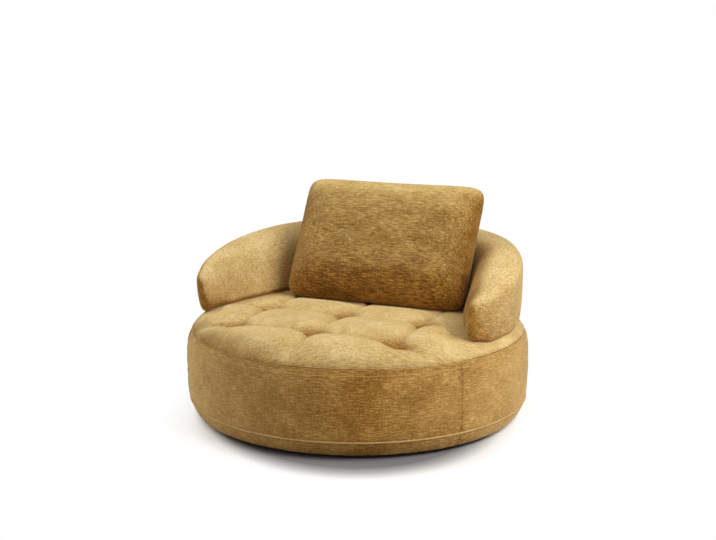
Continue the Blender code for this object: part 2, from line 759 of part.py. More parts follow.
def side_line(heights, inset):
    """Points down the drum's side, inset from its outer surface."""
    return [(drum_radius(height) - inset, height) for height in heights]


def build_drum_covers(finishes, parent):
    """The padding round the hoop, the side cover, the piping and the hem band."""
    foam_inner = FRAME_RADIUS + HOOP_THICKNESS + 2 * GAP
    foam_inset = COVER_THICKNESS + GAP
    foam_foot = drum_radius(hem_heights()[-1]) - foam_inset
    foam_outline = side_line(side_heights()[::2] + hem_heights()[:-1], foam_inset) + [
        (foam_foot, SKIRT_RING_BASE),
        (foam_inner, SKIRT_RING_BASE),
        (foam_inner, SIDE_COVER_TOP),
    ]
    add_turned("side_foam", foam_outline, finishes["foam"], parent)

    outer = side_line(side_heights(), 0.0)
    inner = side_line(side_heights(), COVER_THICKNESS)
    add_turned("side_cover", outer + inner[::-1], finishes["chenille"], parent)

    outer = side_line(hem_heights(), 0.0)
    inner = side_line(hem_heights(), COVER_THICKNESS)
    edge = drum_radius(FLOOR_CLEARANCE)
    turned_under = [
        (edge, FLOOR_CLEARANCE),
        (edge - HEM_TURN_UNDER, FLOOR_CLEARANCE),
        (edge - HEM_TURN_UNDER, FLOOR_CLEARANCE + COVER_THICKNESS),
    ]
    add_turned("hem_band", outer + turned_under + inner[::-1], finishes["chenille"], parent)

    centre = drum_radius(HEM_HEIGHT) - COVER_THICKNESS + PIPING_RADIUS
    turns = [-math.tau * index / PIPING_SIDES for index in range(PIPING_SIDES)]
    cord = [
        (centre + PIPING_RADIUS * math.cos(turned), HEM_HEIGHT + PIPING_RADIUS * math.sin(turned))
        for turned in turns
    ]
    add_turned("hem_piping", cord, finishes["piping"], parent)


def build_seat(finishes, parent, deck):
    """The foam, the tufted pad, and the ties that hold its tufts down. Returns the foam and the pad."""
    foam = cylinder(SEAT_FOAM_RADIUS, SEAT_FOAM_BASE, SEAT_FOAM_TOP, RING_STEPS)
    foam = add_piece("seat_foam", foam, finishes["foam"], parent)
    tie_top = SEAT_PAD_BASE - GAP
    profile = [
        (0, tie_top),
        (TIE_RADIUS, tie_top),
        (TIE_RADIUS, TIE_DISC_BASE + TIE_DISC_THICKNESS),
        (TIE_DISC_RADIUS, TIE_DISC_BASE + TIE_DISC_THICKNESS),
        (TIE_DISC_RADIUS, TIE_DISC_BASE),
        (0, TIE_DISC_BASE),
    ]
    places = [Matrix.Translation((x, y, 0)) for row in tuft_points() for x, y in row]
    tie = spin(outline(profile, closed=False), HOLE_SIDES)
    add_copies("tuft_tie", tie, finishes["tie"], places, parent)
    holes = bmesh.new()
    for place in places:
        hole_radius = TIE_RADIUS + SOFT_GAP
        cylinder(hole_radius, DECK_BASE - SOFT_GAP, SEAT_PAD_BASE, HOLE_SIDES, place, holes)
    holes = add_cutter("tuft_tie_holes", holes)
    boolean(deck, holes)
    boolean(foam, holes)

    inner = FRAME_RADIUS + GAP
    under = [(inner, TOP_SEAM_HEIGHT), (inner, SEAT_PAD_BASE), (0.0, SEAT_PAD_BASE)]
    pad = spin(outline(seat_surface() + under, closed=False), SEAT_STEPS)
    for vert in pad.verts:
        if vert.co.z > SEAT_PAD_BASE + GAP:
            vert.co.z += tuft_relief(vert.co.x, vert.co.y)
    return foam, add_piece("seat_pad", pad, finishes["chenille"], parent)


# Crescent back


def seat_clearance(name, lift):
    """A cutter that fills everything below the plain seat surface raised by lift."""
    points = [(radius, height + lift) for radius, height in seat_surface()]
    rim = points[-1][0] + BACK_ROOT_DEPTH
    points += [(rim, points[-1][1]), (rim, WIDEST_HEIGHT), (0.0, WIDEST_HEIGHT)]
    return turn(add_cutter(name, outline(points, closed=False)), SEAT_STEPS)


def arc_wall(outer, base, top, first_angle):
    """An upright surface bent round the back of the chair, facing outwards."""
    start = around(first_angle, outer)
    bm = bmesh.new()
    ends = [bm.verts.new(start @ Vector((0, 0, height))) for height in (base, top)]
    bm.edges.new(ends)
    spin(bm, FRAME_STEPS, 360.0 - 2 * first_angle)
    if sum(face.normal.dot(face.calc_center_median()) for face in bm.faces) < 0:
        bmesh.ops.reverse_faces(bm, faces=bm.faces)
    return bm


def thicken(made, thickness):
    """Gives an open surface a wall, inwards from where it lies."""
    step = made.modifiers.new("wall", "SOLIDIFY")
    step.thickness = thickness
    step.offset = -1.0
    return made


def build_back(finishes, parent, deck, foam, pad):
    """The back and arms: a bent plywood wall tenoned into the deck, with foam and a cover over it."""
    wall = arc_wall(BACK_FRAME_RADIUS, BACK_FRAME_BASE, BACK_FRAME_CREST, BACK_FRAME_ANGLE)
    wall = thicken(add_piece("back_frame", wall, finishes["plywood"], parent), BACK_FRAME_THICKNESS)
    tenons = bmesh.new()
    mortises = bmesh.new()
    tenon_height = BACK_FRAME_BASE + TENON_OVERLAP - DECK_BASE
    mortise_height = BACK_FRAME_BASE - DECK_BASE + GAP
    mortise_thickness = BACK_FRAME_THICKNESS + 2 * SOFT_GAP
    mortise_width = TENON_WIDTH + 2 * SOFT_GAP
    for angle in spread(TENON_FIRST_ANGLE, 360.0 - TENON_FIRST_ANGLE, TENON_COUNT - 1):
        place = around(angle, TENON_MIDDLE_RADIUS, DECK_BASE)
        tenon = (BACK_FRAME_THICKNESS - 2 * TENON_SHOULDER, TENON_WIDTH, tenon_height)
        box(tenon, place @ Matrix.Translation((0, 0, tenon_height / 2)), tenons)
        mortise = (mortise_thickness, mortise_width, mortise_height)
        box(mortise, place @ Matrix.Translation((0, 0, mortise_height / 2 - GAP)), mortises)
    boolean(wall, add_cutter("tenons", tenons), "UNION")
    mortises = add_cutter("mortises", mortises)
    for pierced in (deck, foam, pad):
        boolean(pierced, mortises)

    cover = add_piece("back_cover", back_loft(0.0, 0), finishes["chenille"], parent)
    lining = add_cutter("back_lining", back_loft(COVER_THICKNESS, 1))
    boolean(lining, seat_clearance("seat_under_lining", SOFT_GAP + COVER_THICKNESS))
    boolean(cover, lining)
    boolean(cover, seat_clearance("seat_under_cover", SOFT_GAP))
    boolean(cover, mortises)

    filling = add_piece("back_foam", back_loft(COVER_THICKNESS + BACK_FOAM_GAP, 2), finishes["foam"], parent)
    boolean(filling, seat_clearance("seat_under_foam", 2 * SOFT_GAP + COVER_THICKNESS))
    pocket_end = BACK_FRAME_ANGLE - math.degrees(SOFT_GAP / BACK_FRAME_RADIUS)
    pocket = arc_wall(BACK_FRAME_RADIUS + SOFT_GAP, BACK_ROOT, BACK_FRAME_CREST + SOFT_GAP, pocket_end)
    boolean(filling, thicken(add_cutter("back_frame_pocket", pocket), mortise_thickness))


# Pillow


def pillow_body(inset):
    """A crowned cushion: two grids joined at a knife edge seam, with its sides drawn in between the
    corners. Its lower seam is at local height 0, and it is cut flat where it rests on the seat."""
    bm = bmesh.new()
    bmesh.ops.create_grid(bm, x_segments=PILLOW_COLUMNS, y_segments=PILLOW_ROWS, size=1.0)
    front = set(bm.verts)
    copied = bmesh.ops.duplicate(bm, geom=bm.verts[:] + bm.edges[:] + bm.faces[:])["geom"]
    bmesh.ops.reverse_faces(bm, faces=[item for item in copied if isinstance(item, bmesh.types.BMFace)])
    half_width = PILLOW_WIDTH / 2 - inset
    half_height = PILLOW_HEIGHT / 2 - inset
    half_depth = PILLOW_THICKNESS / 2 - inset
    for vert in bm.verts:
        across = math.sin(math.pi / 2 * vert.co.x)
        up = math.sin(math.pi / 2 * vert.co.y)
        side = -1.0 if vert in front else 1.0
        corner = 1.0 - PILLOW_CORNER_PULL * abs(across * up) ** 6
        width = half_width * corner * (1.0 - PILLOW_PULL_IN * (1.0 - up * up))
        height = half_height * corner * (1.0 - PILLOW_PULL_IN * (1.0 - across * across))
        depth = side * half_depth * pillow_swell(across, up)
        vert.co = (across * width, depth, PILLOW_HEIGHT / 2 + up * height)
    bmesh.ops.remove_doubles(bm, verts=bm.verts, dist=WELD)
    upright = pillow_place().inverted()
    cut = bmesh.ops.bisect_plane(
        bm,
        geom=bm.verts[:] + bm.edges[:] + bm.faces[:],
        plane_co=upright @ Vector((0, 0, PILLOW_REST + inset)),
        plane_no=upright.to_3x3() @ Vector((0, 0, 1)),
        clear_inner=True,
    )
    rim = [item for item in cut["geom_cut"] if isinstance(item, bmesh.types.BMEdge)]
    bmesh.ops.contextual_create(bm, geom=rim)
    bmesh.ops.triangulate(bm, faces=bm.faces)
    bmesh.ops.recalc_face_normals(bm, faces=bm.faces)
    return bm


def zip_box(margin):
    """A box through the pillow's back wall, where the zip is."""
    depth = PILLOW_THICKNESS / 2
    size = (ZIP_LENGTH + 2 * margin, depth, ZIP_WIDTH + 2 * margin)
    return box(size, Matrix.Translation((0, depth / 2 + COVER_THICKNESS, ZIP_RISE)))


def build_pillow(finishes, parent):
    """The loose pillow: a cover with a zip low on its back, and its filling."""
    cover = add_piece("pillow_cover", pillow_body(0.0), finishes["chenille"], parent)
    add_piece("pillow_filling", pillow_body(PILLOW_COVER_THICKNESS + SOFT_GAP), finishes["fibre"], parent)
    zip_strip = add_piece("pillow_zip", pillow_body(0.0), finishes["zip"], parent)
    lining = add_cutter("pillow_lining", pillow_body(PILLOW_COVER_THICKNESS), pillow_place())
    boolean(cover, lining)
    boolean(cover, add_cutter("zip_slit", zip_box(SOFT_GAP), pillow_place()))
    boolean(zip_strip, lining)
    boolean(zip_strip, add_cutter("zip_strip", zip_box(0.0), pillow_place()), "INTERSECT")


def build():
    """Makes the whole chair."""
    clear_scene()
    finishes = {
        "chenille": material("golden_chenille", "AA8350", 0.9),
        "piping": material("chenille_piping", "B89462", 0.9),
        "foam": material("cream_foam", "E6DDC2", 0.95),
        "fibre": material("white_fibre", "F0EEE8", 0.95),
        "plywood": material("birch_plywood", "C9A877", 0.6),
        "hardboard": material("brown_hardboard", "8A6440", 0.7),
        "zinc": material("zinc_plated_steel", "B9BCC0", 0.35, 1.0),
        "screw": material("screw_steel", "A9ABAF", 0.4, 1.0),
        "chrome": material("bearing_steel", "D8DADC", 0.15, 1.0),
        "nylon": material("black_nylon", "1E1E20", 0.5),
        "felt": material("grey_felt", "6C6A66", 0.95),
        "lining": material("black_lining", "1A1A1B", 0.9),
        "tie": material("white_nylon", "E2DFD6", 0.5),
        "zip": material("zip_tape", "8C6A3C", 0.7),
    }
    swivel_axis = add_axis("swivel_axis", Matrix.Identity(4))
    cage_axis = add_axis("cage_axis", Matrix.Identity(4))
    pillow_guide = add_axis("pillow_guide", pillow_place(), swivel_axis)
    build_floor_base(finishes)
    build_bearing(finishes, cage_axis)
    deck = build_seat_frame(finishes, swivel_axis)
    build_drum_covers(finishes, swivel_axis)
    foam, pad = build_seat(finishes, swivel_axis, deck)
    build_back(finishes, swivel_axis, deck, foam, pad)
    build_pillow(finishes, pillow_guide)
    bpy.context.view_layer.update()


build()
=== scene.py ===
# %% [markdown]
# The looks of a round swivel armchair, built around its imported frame. The frame holds every solid at
# its real size: boards, bearing, screws, and a plain body for each soft part. This script keeps the
# hard pieces, gives them their finishes, and makes the upholstery anew: a tufted seat, a side wall of
# sewn panels, a crescent back with its arms, and one loose pillow. Each soft piece stays in the space
# of the body that it replaces, so sizes are read from the frame wherever it has them.

# %% Load the frame
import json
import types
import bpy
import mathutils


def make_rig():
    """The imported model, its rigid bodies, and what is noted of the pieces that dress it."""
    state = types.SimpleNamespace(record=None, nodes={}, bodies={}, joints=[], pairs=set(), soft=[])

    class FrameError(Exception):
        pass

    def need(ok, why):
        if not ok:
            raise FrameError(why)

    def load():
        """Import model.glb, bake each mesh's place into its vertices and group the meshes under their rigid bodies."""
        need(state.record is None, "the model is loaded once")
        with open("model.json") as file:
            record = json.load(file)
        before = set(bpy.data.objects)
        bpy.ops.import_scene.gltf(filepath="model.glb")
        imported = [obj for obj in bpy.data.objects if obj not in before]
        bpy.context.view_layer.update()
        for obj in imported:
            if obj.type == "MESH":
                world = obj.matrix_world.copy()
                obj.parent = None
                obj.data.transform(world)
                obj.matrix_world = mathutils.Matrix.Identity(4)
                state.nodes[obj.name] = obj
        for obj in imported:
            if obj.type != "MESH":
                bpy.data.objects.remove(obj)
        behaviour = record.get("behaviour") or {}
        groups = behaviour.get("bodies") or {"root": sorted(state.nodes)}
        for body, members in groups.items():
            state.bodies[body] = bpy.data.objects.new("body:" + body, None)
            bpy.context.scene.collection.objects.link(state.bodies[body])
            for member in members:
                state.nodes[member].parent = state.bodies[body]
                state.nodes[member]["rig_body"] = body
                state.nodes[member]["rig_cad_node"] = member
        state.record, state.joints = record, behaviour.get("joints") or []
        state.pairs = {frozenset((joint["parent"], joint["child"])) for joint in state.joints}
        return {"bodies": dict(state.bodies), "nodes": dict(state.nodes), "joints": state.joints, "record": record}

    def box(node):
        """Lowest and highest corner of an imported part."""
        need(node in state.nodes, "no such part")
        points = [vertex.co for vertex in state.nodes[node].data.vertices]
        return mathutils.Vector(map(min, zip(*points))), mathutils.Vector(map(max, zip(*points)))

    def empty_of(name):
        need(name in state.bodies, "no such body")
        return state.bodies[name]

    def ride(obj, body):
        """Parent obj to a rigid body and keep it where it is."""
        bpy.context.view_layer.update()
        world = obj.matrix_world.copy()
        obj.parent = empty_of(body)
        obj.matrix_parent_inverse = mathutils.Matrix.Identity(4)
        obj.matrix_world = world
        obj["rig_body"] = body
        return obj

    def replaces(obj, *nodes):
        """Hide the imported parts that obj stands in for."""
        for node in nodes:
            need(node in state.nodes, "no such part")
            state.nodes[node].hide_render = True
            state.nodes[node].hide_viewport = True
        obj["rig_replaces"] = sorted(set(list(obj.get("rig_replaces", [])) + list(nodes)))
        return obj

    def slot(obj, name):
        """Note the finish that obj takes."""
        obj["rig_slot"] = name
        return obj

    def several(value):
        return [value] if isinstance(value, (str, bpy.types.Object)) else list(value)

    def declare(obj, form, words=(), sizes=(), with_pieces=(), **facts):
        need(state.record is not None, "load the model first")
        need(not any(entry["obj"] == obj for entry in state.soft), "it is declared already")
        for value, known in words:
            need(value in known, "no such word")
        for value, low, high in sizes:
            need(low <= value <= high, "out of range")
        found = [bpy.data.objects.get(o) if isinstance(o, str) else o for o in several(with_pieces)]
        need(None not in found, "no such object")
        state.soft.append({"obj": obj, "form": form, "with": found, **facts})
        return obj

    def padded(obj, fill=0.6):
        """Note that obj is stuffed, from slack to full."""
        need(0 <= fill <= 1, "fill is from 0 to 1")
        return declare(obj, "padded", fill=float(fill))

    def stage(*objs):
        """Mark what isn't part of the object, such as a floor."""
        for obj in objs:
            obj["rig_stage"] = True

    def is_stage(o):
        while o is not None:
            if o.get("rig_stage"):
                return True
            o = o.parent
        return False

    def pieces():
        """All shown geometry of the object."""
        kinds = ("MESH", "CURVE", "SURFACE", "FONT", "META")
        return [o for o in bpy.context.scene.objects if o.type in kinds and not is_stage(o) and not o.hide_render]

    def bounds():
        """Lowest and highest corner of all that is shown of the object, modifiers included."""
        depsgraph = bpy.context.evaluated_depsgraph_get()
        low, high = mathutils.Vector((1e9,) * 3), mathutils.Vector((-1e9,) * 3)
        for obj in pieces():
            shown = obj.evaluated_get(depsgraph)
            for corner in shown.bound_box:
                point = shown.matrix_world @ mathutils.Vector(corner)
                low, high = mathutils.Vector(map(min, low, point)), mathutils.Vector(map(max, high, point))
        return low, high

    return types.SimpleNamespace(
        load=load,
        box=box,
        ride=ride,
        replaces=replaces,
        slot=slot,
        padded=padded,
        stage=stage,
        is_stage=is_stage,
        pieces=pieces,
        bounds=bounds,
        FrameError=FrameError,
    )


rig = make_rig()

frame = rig.load()

import json
import math

import bmesh
import bpy
from mathutils import Matrix, Vector, noise
from mathutils.bvhtree import BVHTree

CAD_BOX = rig.bounds()
print("frame box", [[round(value, 4) for value in corner] for corner in CAD_BOX])

# %% [markdown]
# The camera stands where the photographer stood. Its angles and its distance were worked out from the
# ellipse of the drum: how flat it looks gives the height, and where the arms end gives the turn. A
# long lens of 1200 pixels on a picture 716 pixels wide is a 60 mm lens. The chair sits a little under
# the middle of the picture, which a small shift of the lens gives.

# %% Camera
PHOTO_WIDTH = 716
FOCAL_PIXELS = 1200
TARGET_BELOW_MIDDLE = 53
CAMERA_TURN = 24.37
CAMERA_RISE = 13.84
CAMERA_DISTANCE = 4.60
TARGET = Vector((0.0, 0.0, 0.325))


def direction(turn, rise):
    """A unit vector at a turn to the right of the chair's front and a rise over the floor, in degrees."""
    turn, rise = math.radians(turn), math.radians(rise)
    return Vector((math.cos(rise) * math.sin(turn), -math.cos(rise) * math.cos(turn), math.sin(rise)))


def add_object(name, data):
    """An object for a mesh, a lamp or a camera, linked to the scene."""
    made = bpy.data.objects.new(name, data)
    bpy.context.scene.collection.objects.link(made)
    return made


lens = bpy.data.cameras.new("photo_camera")
lens.lens = FOCAL_PIXELS / PHOTO_WIDTH * lens.sensor_width
lens.shift_y = TARGET_BELOW_MIDDLE / PHOTO_WIDTH
camera = add_object("photo_camera", lens)
camera.location = TARGET + CAMERA_DISTANCE * direction(CAMERA_TURN, CAMERA_RISE)
camera.rotation_euler = direction(CAMERA_TURN, CAMERA_RISE).to_track_quat("Z", "Y").to_euler()
bpy.context.scene.camera = camera
print("lens", round(lens.lens, 1), "mm")

# %% [markdown]
# Materials come from node trees, and one small function adds a node, sets it up and links it. Colours
# are written as the eye reads them, in sRGB hex, and one function turns them to the linear values that
# the renderer works in.

# %% Helpers for materials


def linear(hex_code):
    """Linear colour of an sRGB hex code."""
    channels = [int(hex_code[start : start + 2], 16) / 255 for start in (0, 2, 4)]
    return tuple(c / 12.92 if c <= 0.04045 else ((c + 0.055) / 1.055) ** 2.4 for c in channels) + (1.0,)


def add_node(tree, kind, inputs=None, stops=None, **settings):
    """Adds a shader node of a kind. inputs maps socket names or numbers to values, or to the outputs that
    are linked to them, and stops are the places and colours of a ramp."""
    made = tree.nodes.new("ShaderNode" + kind)
    for name, value in settings.items():
        setattr(made, name, value)
    for socket, value in (inputs or {}).items():
        if isinstance(value, bpy.types.NodeSocket):
            tree.links.new(value, made.inputs[socket])
        else:
            made.inputs[socket].default_value = value
    for index, (place, hex_code) in enumerate(stops or ()):
        ramp = made.color_ramp.elements
        stop = ramp[index] if index < 2 else ramp.new(place)
        stop.position = place
        stop.color = linear(hex_code)
    return made


def new_material(name, roughness, metallic=0.0):
    """A material with an empty tree but for its Principled shader, and the shader itself."""
    made = bpy.data.materials.new(name)
    made.use_nodes = True
    shader = made.node_tree.nodes["Principled BSDF"]
    shader.inputs["Roughness"].default_value = roughness
    shader.inputs["Metallic"].default_value = metallic
    return made, made.node_tree, shader


# %% [markdown]
# The room is plain. The floor is matt white board that keeps the chair's shadow, and a painted shadow
# makes it greyer close to the chair, where that shadow is deep. A faint glow lifts it where light falls
# on it freely, and it turns to pure white away from the chair, as paper does that is lit from behind.
# The world is white for the camera and for reflections, and a dim fill for the chair. Two large soft
# boxes hang overhead, the right one stronger than the left. Their strengths were found by trying each
# light alone and asking which sum comes nearest to the photo, so that the seat is brightest, the flanks
# come next and the faces turned to the camera are the darkest.

# %% Floor, world and lamps
FLOOR_SIZE = 24.0
SHADOW_MIDDLE = (0.04, -0.10, 0.0)
SHADOW_SHAPE = (0.80, 1.0, 1.0)
SHADOW_ROOM = (0.68, 0.95)
LIFT_ROOM = (0.64, 0.78)
# Where the floor's painted shadow fades out, and its grey and its white.
PAINTED_SHADOW_ROOM = (0.59, 0.70)
FLOOR_AND_PAINTED_SHADOW_COLOURS = ("8C8C8E", "F4F4F4")
FLOOR_LIFT = 0.30
WHITE = (1.0, 1.0, 1.0, 1.0)
WORLD_FILL = 0.26
LAMPS = {
    "left_box": ((-1.8, -0.5, 2.5), 37.0),
    "right_box": ((2.3, -0.5, 2.4), 70.0),
}
LAMP_AIM = Vector((0.0, 0.0, 0.35))
LAMP_SIZE = 1.8


def seen_directly(tree):
    """A value of 1 for what the camera, a reflection or clear glass sees, and 0 for scattered light."""
    path = add_node(tree, "LightPath")
    total = path.outputs["Is Camera Ray"]
    for other in ("Is Glossy Ray", "Is Transmission Ray"):
        either = {0: total, 1: path.outputs[other]}
        total = add_node(tree, "Math", either, operation="MAXIMUM").outputs[0]
    return total


def make_floor():
    """The white floor, with a painted shadow close to the chair, which fades to pure white away from it."""
    bm = bmesh.new()
    bmesh.ops.create_grid(bm, x_segments=1, y_segments=1, size=FLOOR_SIZE / 2)
    mesh = bpy.data.meshes.new("floor")
    bm.to_mesh(mesh)
    bm.free()
    floor = add_object("floor", mesh)
    made = bpy.data.materials.new("white_floor_painted_shadow")
    made.use_nodes = True
    tree = made.node_tree
    tree.nodes.clear()
    place = add_node(tree, "TexCoord").outputs["Object"]
    turn = (0.0, 0.0, math.radians(CAMERA_TURN))
    shape = {"Vector": place, "Location": SHADOW_MIDDLE, "Rotation": turn, "Scale": SHADOW_SHAPE}
    place = add_node(tree, "Mapping", shape, vector_type="TEXTURE").outputs[0]
    distance = add_node(tree, "VectorMath", {0: place}, operation="LENGTH").outputs["Value"]
    fade = {"Value": distance, "From Min": SHADOW_ROOM[0], "From Max": SHADOW_ROOM[1]}
    fade = add_node(tree, "MapRange", fade, interpolation_type="SMOOTHSTEP").outputs[0]
    seen = seen_directly(tree)
    share = add_node(tree, "Math", {0: fade, 1: seen}, operation="MULTIPLY").outputs[0]
    # Painted shadow: the board is grey close to the chair and white further out.
    close = {"Value": distance, "From Min": PAINTED_SHADOW_ROOM[0], "From Max": PAINTED_SHADOW_ROOM[1]}
    close = add_node(tree, "MapRange", close).outputs[0]
    board = add_node(tree, "ValToRGB", {"Fac": close}, stops=list(zip((0.0, 1.0), FLOOR_AND_PAINTED_SHADOW_COLOURS)))
    matt = add_node(tree, "BsdfDiffuse", {"Color": board.outputs["Color"]}).outputs[0]
    free = {"Value": distance, "From Min": LIFT_ROOM[0], "From Max": LIFT_ROOM[1], "To Max": FLOOR_LIFT}
    lift = add_node(tree, "MapRange", free).outputs[0]
    lift = add_node(tree, "Math", {0: seen, 1: lift}, operation="MULTIPLY").outputs[0]
    glow = add_node(tree, "Emission", {"Color": WHITE, "Strength": lift}).outputs[0]
    lifted = add_node(tree, "AddShader", {0: matt, 1: glow}).outputs[0]
    white = add_node(tree, "Emission", {"Color": WHITE, "Strength": 1.0}).outputs[0]
    mixed = add_node(tree, "MixShader", {0: share, 1: lifted, 2: white}).outputs[0]
    add_node(tree, "OutputMaterial", {"Surface": mixed})
    mesh.materials.append(made)
    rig.stage(floor)


def make_world():
    """White where it is seen, and a dim even fill on the chair."""
    world = bpy.data.worlds.new("studio")
    bpy.context.scene.world = world
    world.use_nodes = True
    tree = world.node_tree
    tree.nodes.clear()
    fill = add_node(tree, "Background", {"Color": WHITE, "Strength": WORLD_FILL}).outputs[0]
    white = add_node(tree, "Background", {"Color": WHITE, "Strength": 1.0}).outputs[0]
    mixed = add_node(tree, "MixShader", {0: seen_directly(tree), 1: fill, 2: white}).outputs[0]
    add_node(tree, "OutputWorld", {"Surface": mixed})


def make_lamp(name, place, power):
    """A square soft box at a place, aimed at the chair."""
    light = bpy.data.lights.new(name, "AREA")
    light.size = LAMP_SIZE
    light.energy = power
    lamp = add_object(name, light)
    lamp.location = place
    lamp.rotation_euler = (Vector(place) - LAMP_AIM).to_track_quat("Z", "Y").to_euler()


make_floor()
make_world()
for lamp_name, lamp_facts in LAMPS.items():
    make_lamp(lamp_name, *lamp_facts)
bpy.context.scene.view_settings.view_transform = "Standard"
print(len(LAMPS), "lamps")

# %% [markdown]
# The cover is chenille: a woven cloth whose weft is a furry yarn, thick in some places and thin in
# others. The eye sees three things in it. Slubs, the thick stretches, are pale streaks 20 to 40 mm long
# that run along the weft. Between them the pile is open and shows the deeper ochre of its root. And at
# a flat angle the tips of the pile catch the light and turn the cloth straw pale, which is what sheen
# is for. The real yarn is about 1.5 mm across, which is finer than a pixel of the photo, so the rows
# are drawn 4 mm apart, as the photo shows them.
#
# Each piece carries its place on the cloth as an attribute of its points, in metres, with the weft
# along its first axis. A UV map would have to be squeezed where the back closes at an arm's tip, and a
# third axis avoids that. A noise that is stretched along the weft gives the slubs, and a finer one the
# specks where a tuft of pile stands up.
#
# The colour also holds painted light. Each piece has one fixed way, and the further a face turns
# towards it, the paler its colour is painted, as light from there would make it: mostly upwards on the
# seat and the pillow, upwards and to the right on the arms, and both ways round the drum, which paints
# a sheen on its flanks. A second attribute says how deep in a fold a point is, and takes the paleness
# away there, which paints shade into the folds.

# %% Chenille
SLUB_LENGTH = 0.030
SLUB_WIDTH = 0.0040
SPECK_LENGTH = 0.0075
SPECK_WIDTH = 0.0028
WARP_PITCH = 0.0060
MOTTLE_SIZE = (0.144, 0.090)
PILE_HEIGHT = 0.0016
PILE_SPREAD = 0.17
SLUB_SHARE, SPECK_SHARE, WARP_SHARE, MOTTLE_SHARE = 0.50, 0.36, 0.14, 0.26
# Painted light: the way that paler faces turn, where paling starts and is full, and if both ways count.
ARM_PAINTED_LIGHT_WAY = ((0.60, 0.10, 0.95), 0.28, 0.86, False)
SEAT_PAINTED_LIGHT_WAY = ((0.20, 0.0, 1.0), 0.45, 0.78, False)
SIDE_PAINTED_SHEEN_WAY = ((0.91, 0.41, 0.0), 0.02, 1.35, True)
PILLOW_PAINTED_LIGHT_WAY = ((0.0, 0.0, 1.0), 0.28, 0.86, False)
SHEEN = 0.5
SHEEN_ROUGHNESS = 0.45
SHEEN_TINT = "F2DAA2"
CLOTH_ROUGHNESS = 0.92
CLOTH_GLOSS = 0.15
BUMP_STRENGTH = 0.6


def chenille(name, colours, painted_pale_colours, painted_light_way, streaks=1.0):
    """Chenille with its root, tip and body colours, and the two paler colours between which it lies where
    light is painted on it. After them come the way from which that light is painted, how far a face must
    turn that way before it starts to pale and is all pale, and whether the opposite way counts as well.
    streaks says how strongly its slubs show."""
    made, tree, shader = new_material(name, CLOTH_ROUGHNESS)
    cloth = add_node(tree, "Attribute", attribute_name="weave").outputs["Vector"]

    def stretched(length, width, detail):
        """A noise with streaks of that length and width, in metres."""
        scale = (1 / length, 1 / width, 1 / width)
        scaled = add_node(tree, "VectorMath", {0: cloth, 1: scale}, operation="MULTIPLY").outputs[0]
        return add_node(tree, "TexNoise", {"Vector": scaled, "Scale": 1.0, "Detail": detail}).outputs[0]

    shares = (
        (stretched(SLUB_LENGTH, SLUB_WIDTH, 2.0), SLUB_SHARE * streaks),
        (stretched(SPECK_LENGTH, SPECK_WIDTH, 1.0), SPECK_SHARE),
        (stretched(WARP_PITCH, SLUB_LENGTH, 1.0), WARP_SHARE),
        (stretched(*MOTTLE_SIZE, 2.0), MOTTLE_SHARE),
    )
    pile = 0.0
    for pattern, share in shares:
        weighted = {0: pattern, 1: share, 2: pile}
        pile = add_node(tree, "Math", weighted, operation="MULTIPLY_ADD").outputs[0]
    middle = sum(share for _, share in shares) / 2
    limits = {"Value": pile, "From Min": middle - PILE_SPREAD, "From Max": middle + PILE_SPREAD}
    pile = add_node(tree, "MapRange", limits).outputs[0]
    colour = add_node(tree, "ValToRGB", {"Fac": pile}, stops=list(zip((0.0, 1.0, 0.5), colours)))
    # Painted light: the further the face turns the fixed way, the paler its colour is painted.
    normal = add_node(tree, "NewGeometry").outputs["Normal"]
    way, start, full, both_ways = painted_light_way
    turned = add_node(tree, "VectorMath", {0: normal, 1: way}, operation="DOT_PRODUCT").outputs["Value"]
    if both_ways:
        turned = add_node(tree, "Math", {0: turned}, operation="ABSOLUTE").outputs[0]
    limits = {"Value": turned, "From Min": start, "From Max": full}
    painted_paleness = add_node(tree, "MapRange", limits).outputs[0]
    # Painted shade: deep in a fold the painted paleness is taken away.
    fold = add_node(tree, "Attribute", attribute_name="fold").outputs["Fac"]
    outside_painted_shade = add_node(tree, "Math", {0: 1.0, 1: fold}, operation="SUBTRACT").outputs[0]
    painted_paleness = add_node(tree, "Math", {0: painted_paleness, 1: outside_painted_shade}, operation="MULTIPLY").outputs[0]
    painted_light_pile = add_node(tree, "ValToRGB", {"Fac": pile}, stops=list(zip((0.0, 1.0), painted_pale_colours)))
    both = {0: painted_paleness, 6: colour.outputs[0], 7: painted_light_pile.outputs[0]}
    mixed = add_node(tree, "Mix", both, data_type="RGBA").outputs[2]
    bump = {"Height": pile, "Strength": BUMP_STRENGTH, "Distance": PILE_HEIGHT}
    bump = add_node(tree, "Bump", bump)
    tree.links.new(mixed, shader.inputs["Base Color"])
    tree.links.new(bump.outputs["Normal"], shader.inputs["Normal"])
    shader.inputs["Sheen Weight"].default_value = SHEEN
    shader.inputs["Sheen Roughness"].default_value = SHEEN_ROUGHNESS
    shader.inputs["Sheen Tint"].default_value = linear(SHEEN_TINT)
    shader.inputs["Specular IOR Level"].default_value = CLOTH_GLOSS
    return made


GOLD = ("66410F", "D0A356", "986828")
# The pillow's colours, and its paler ones below, are the same cloth painted darker, as painted shade.
PILLOW_PAINTED_SHADE_GOLD = ("4E2F05", "C08F43", "815519")
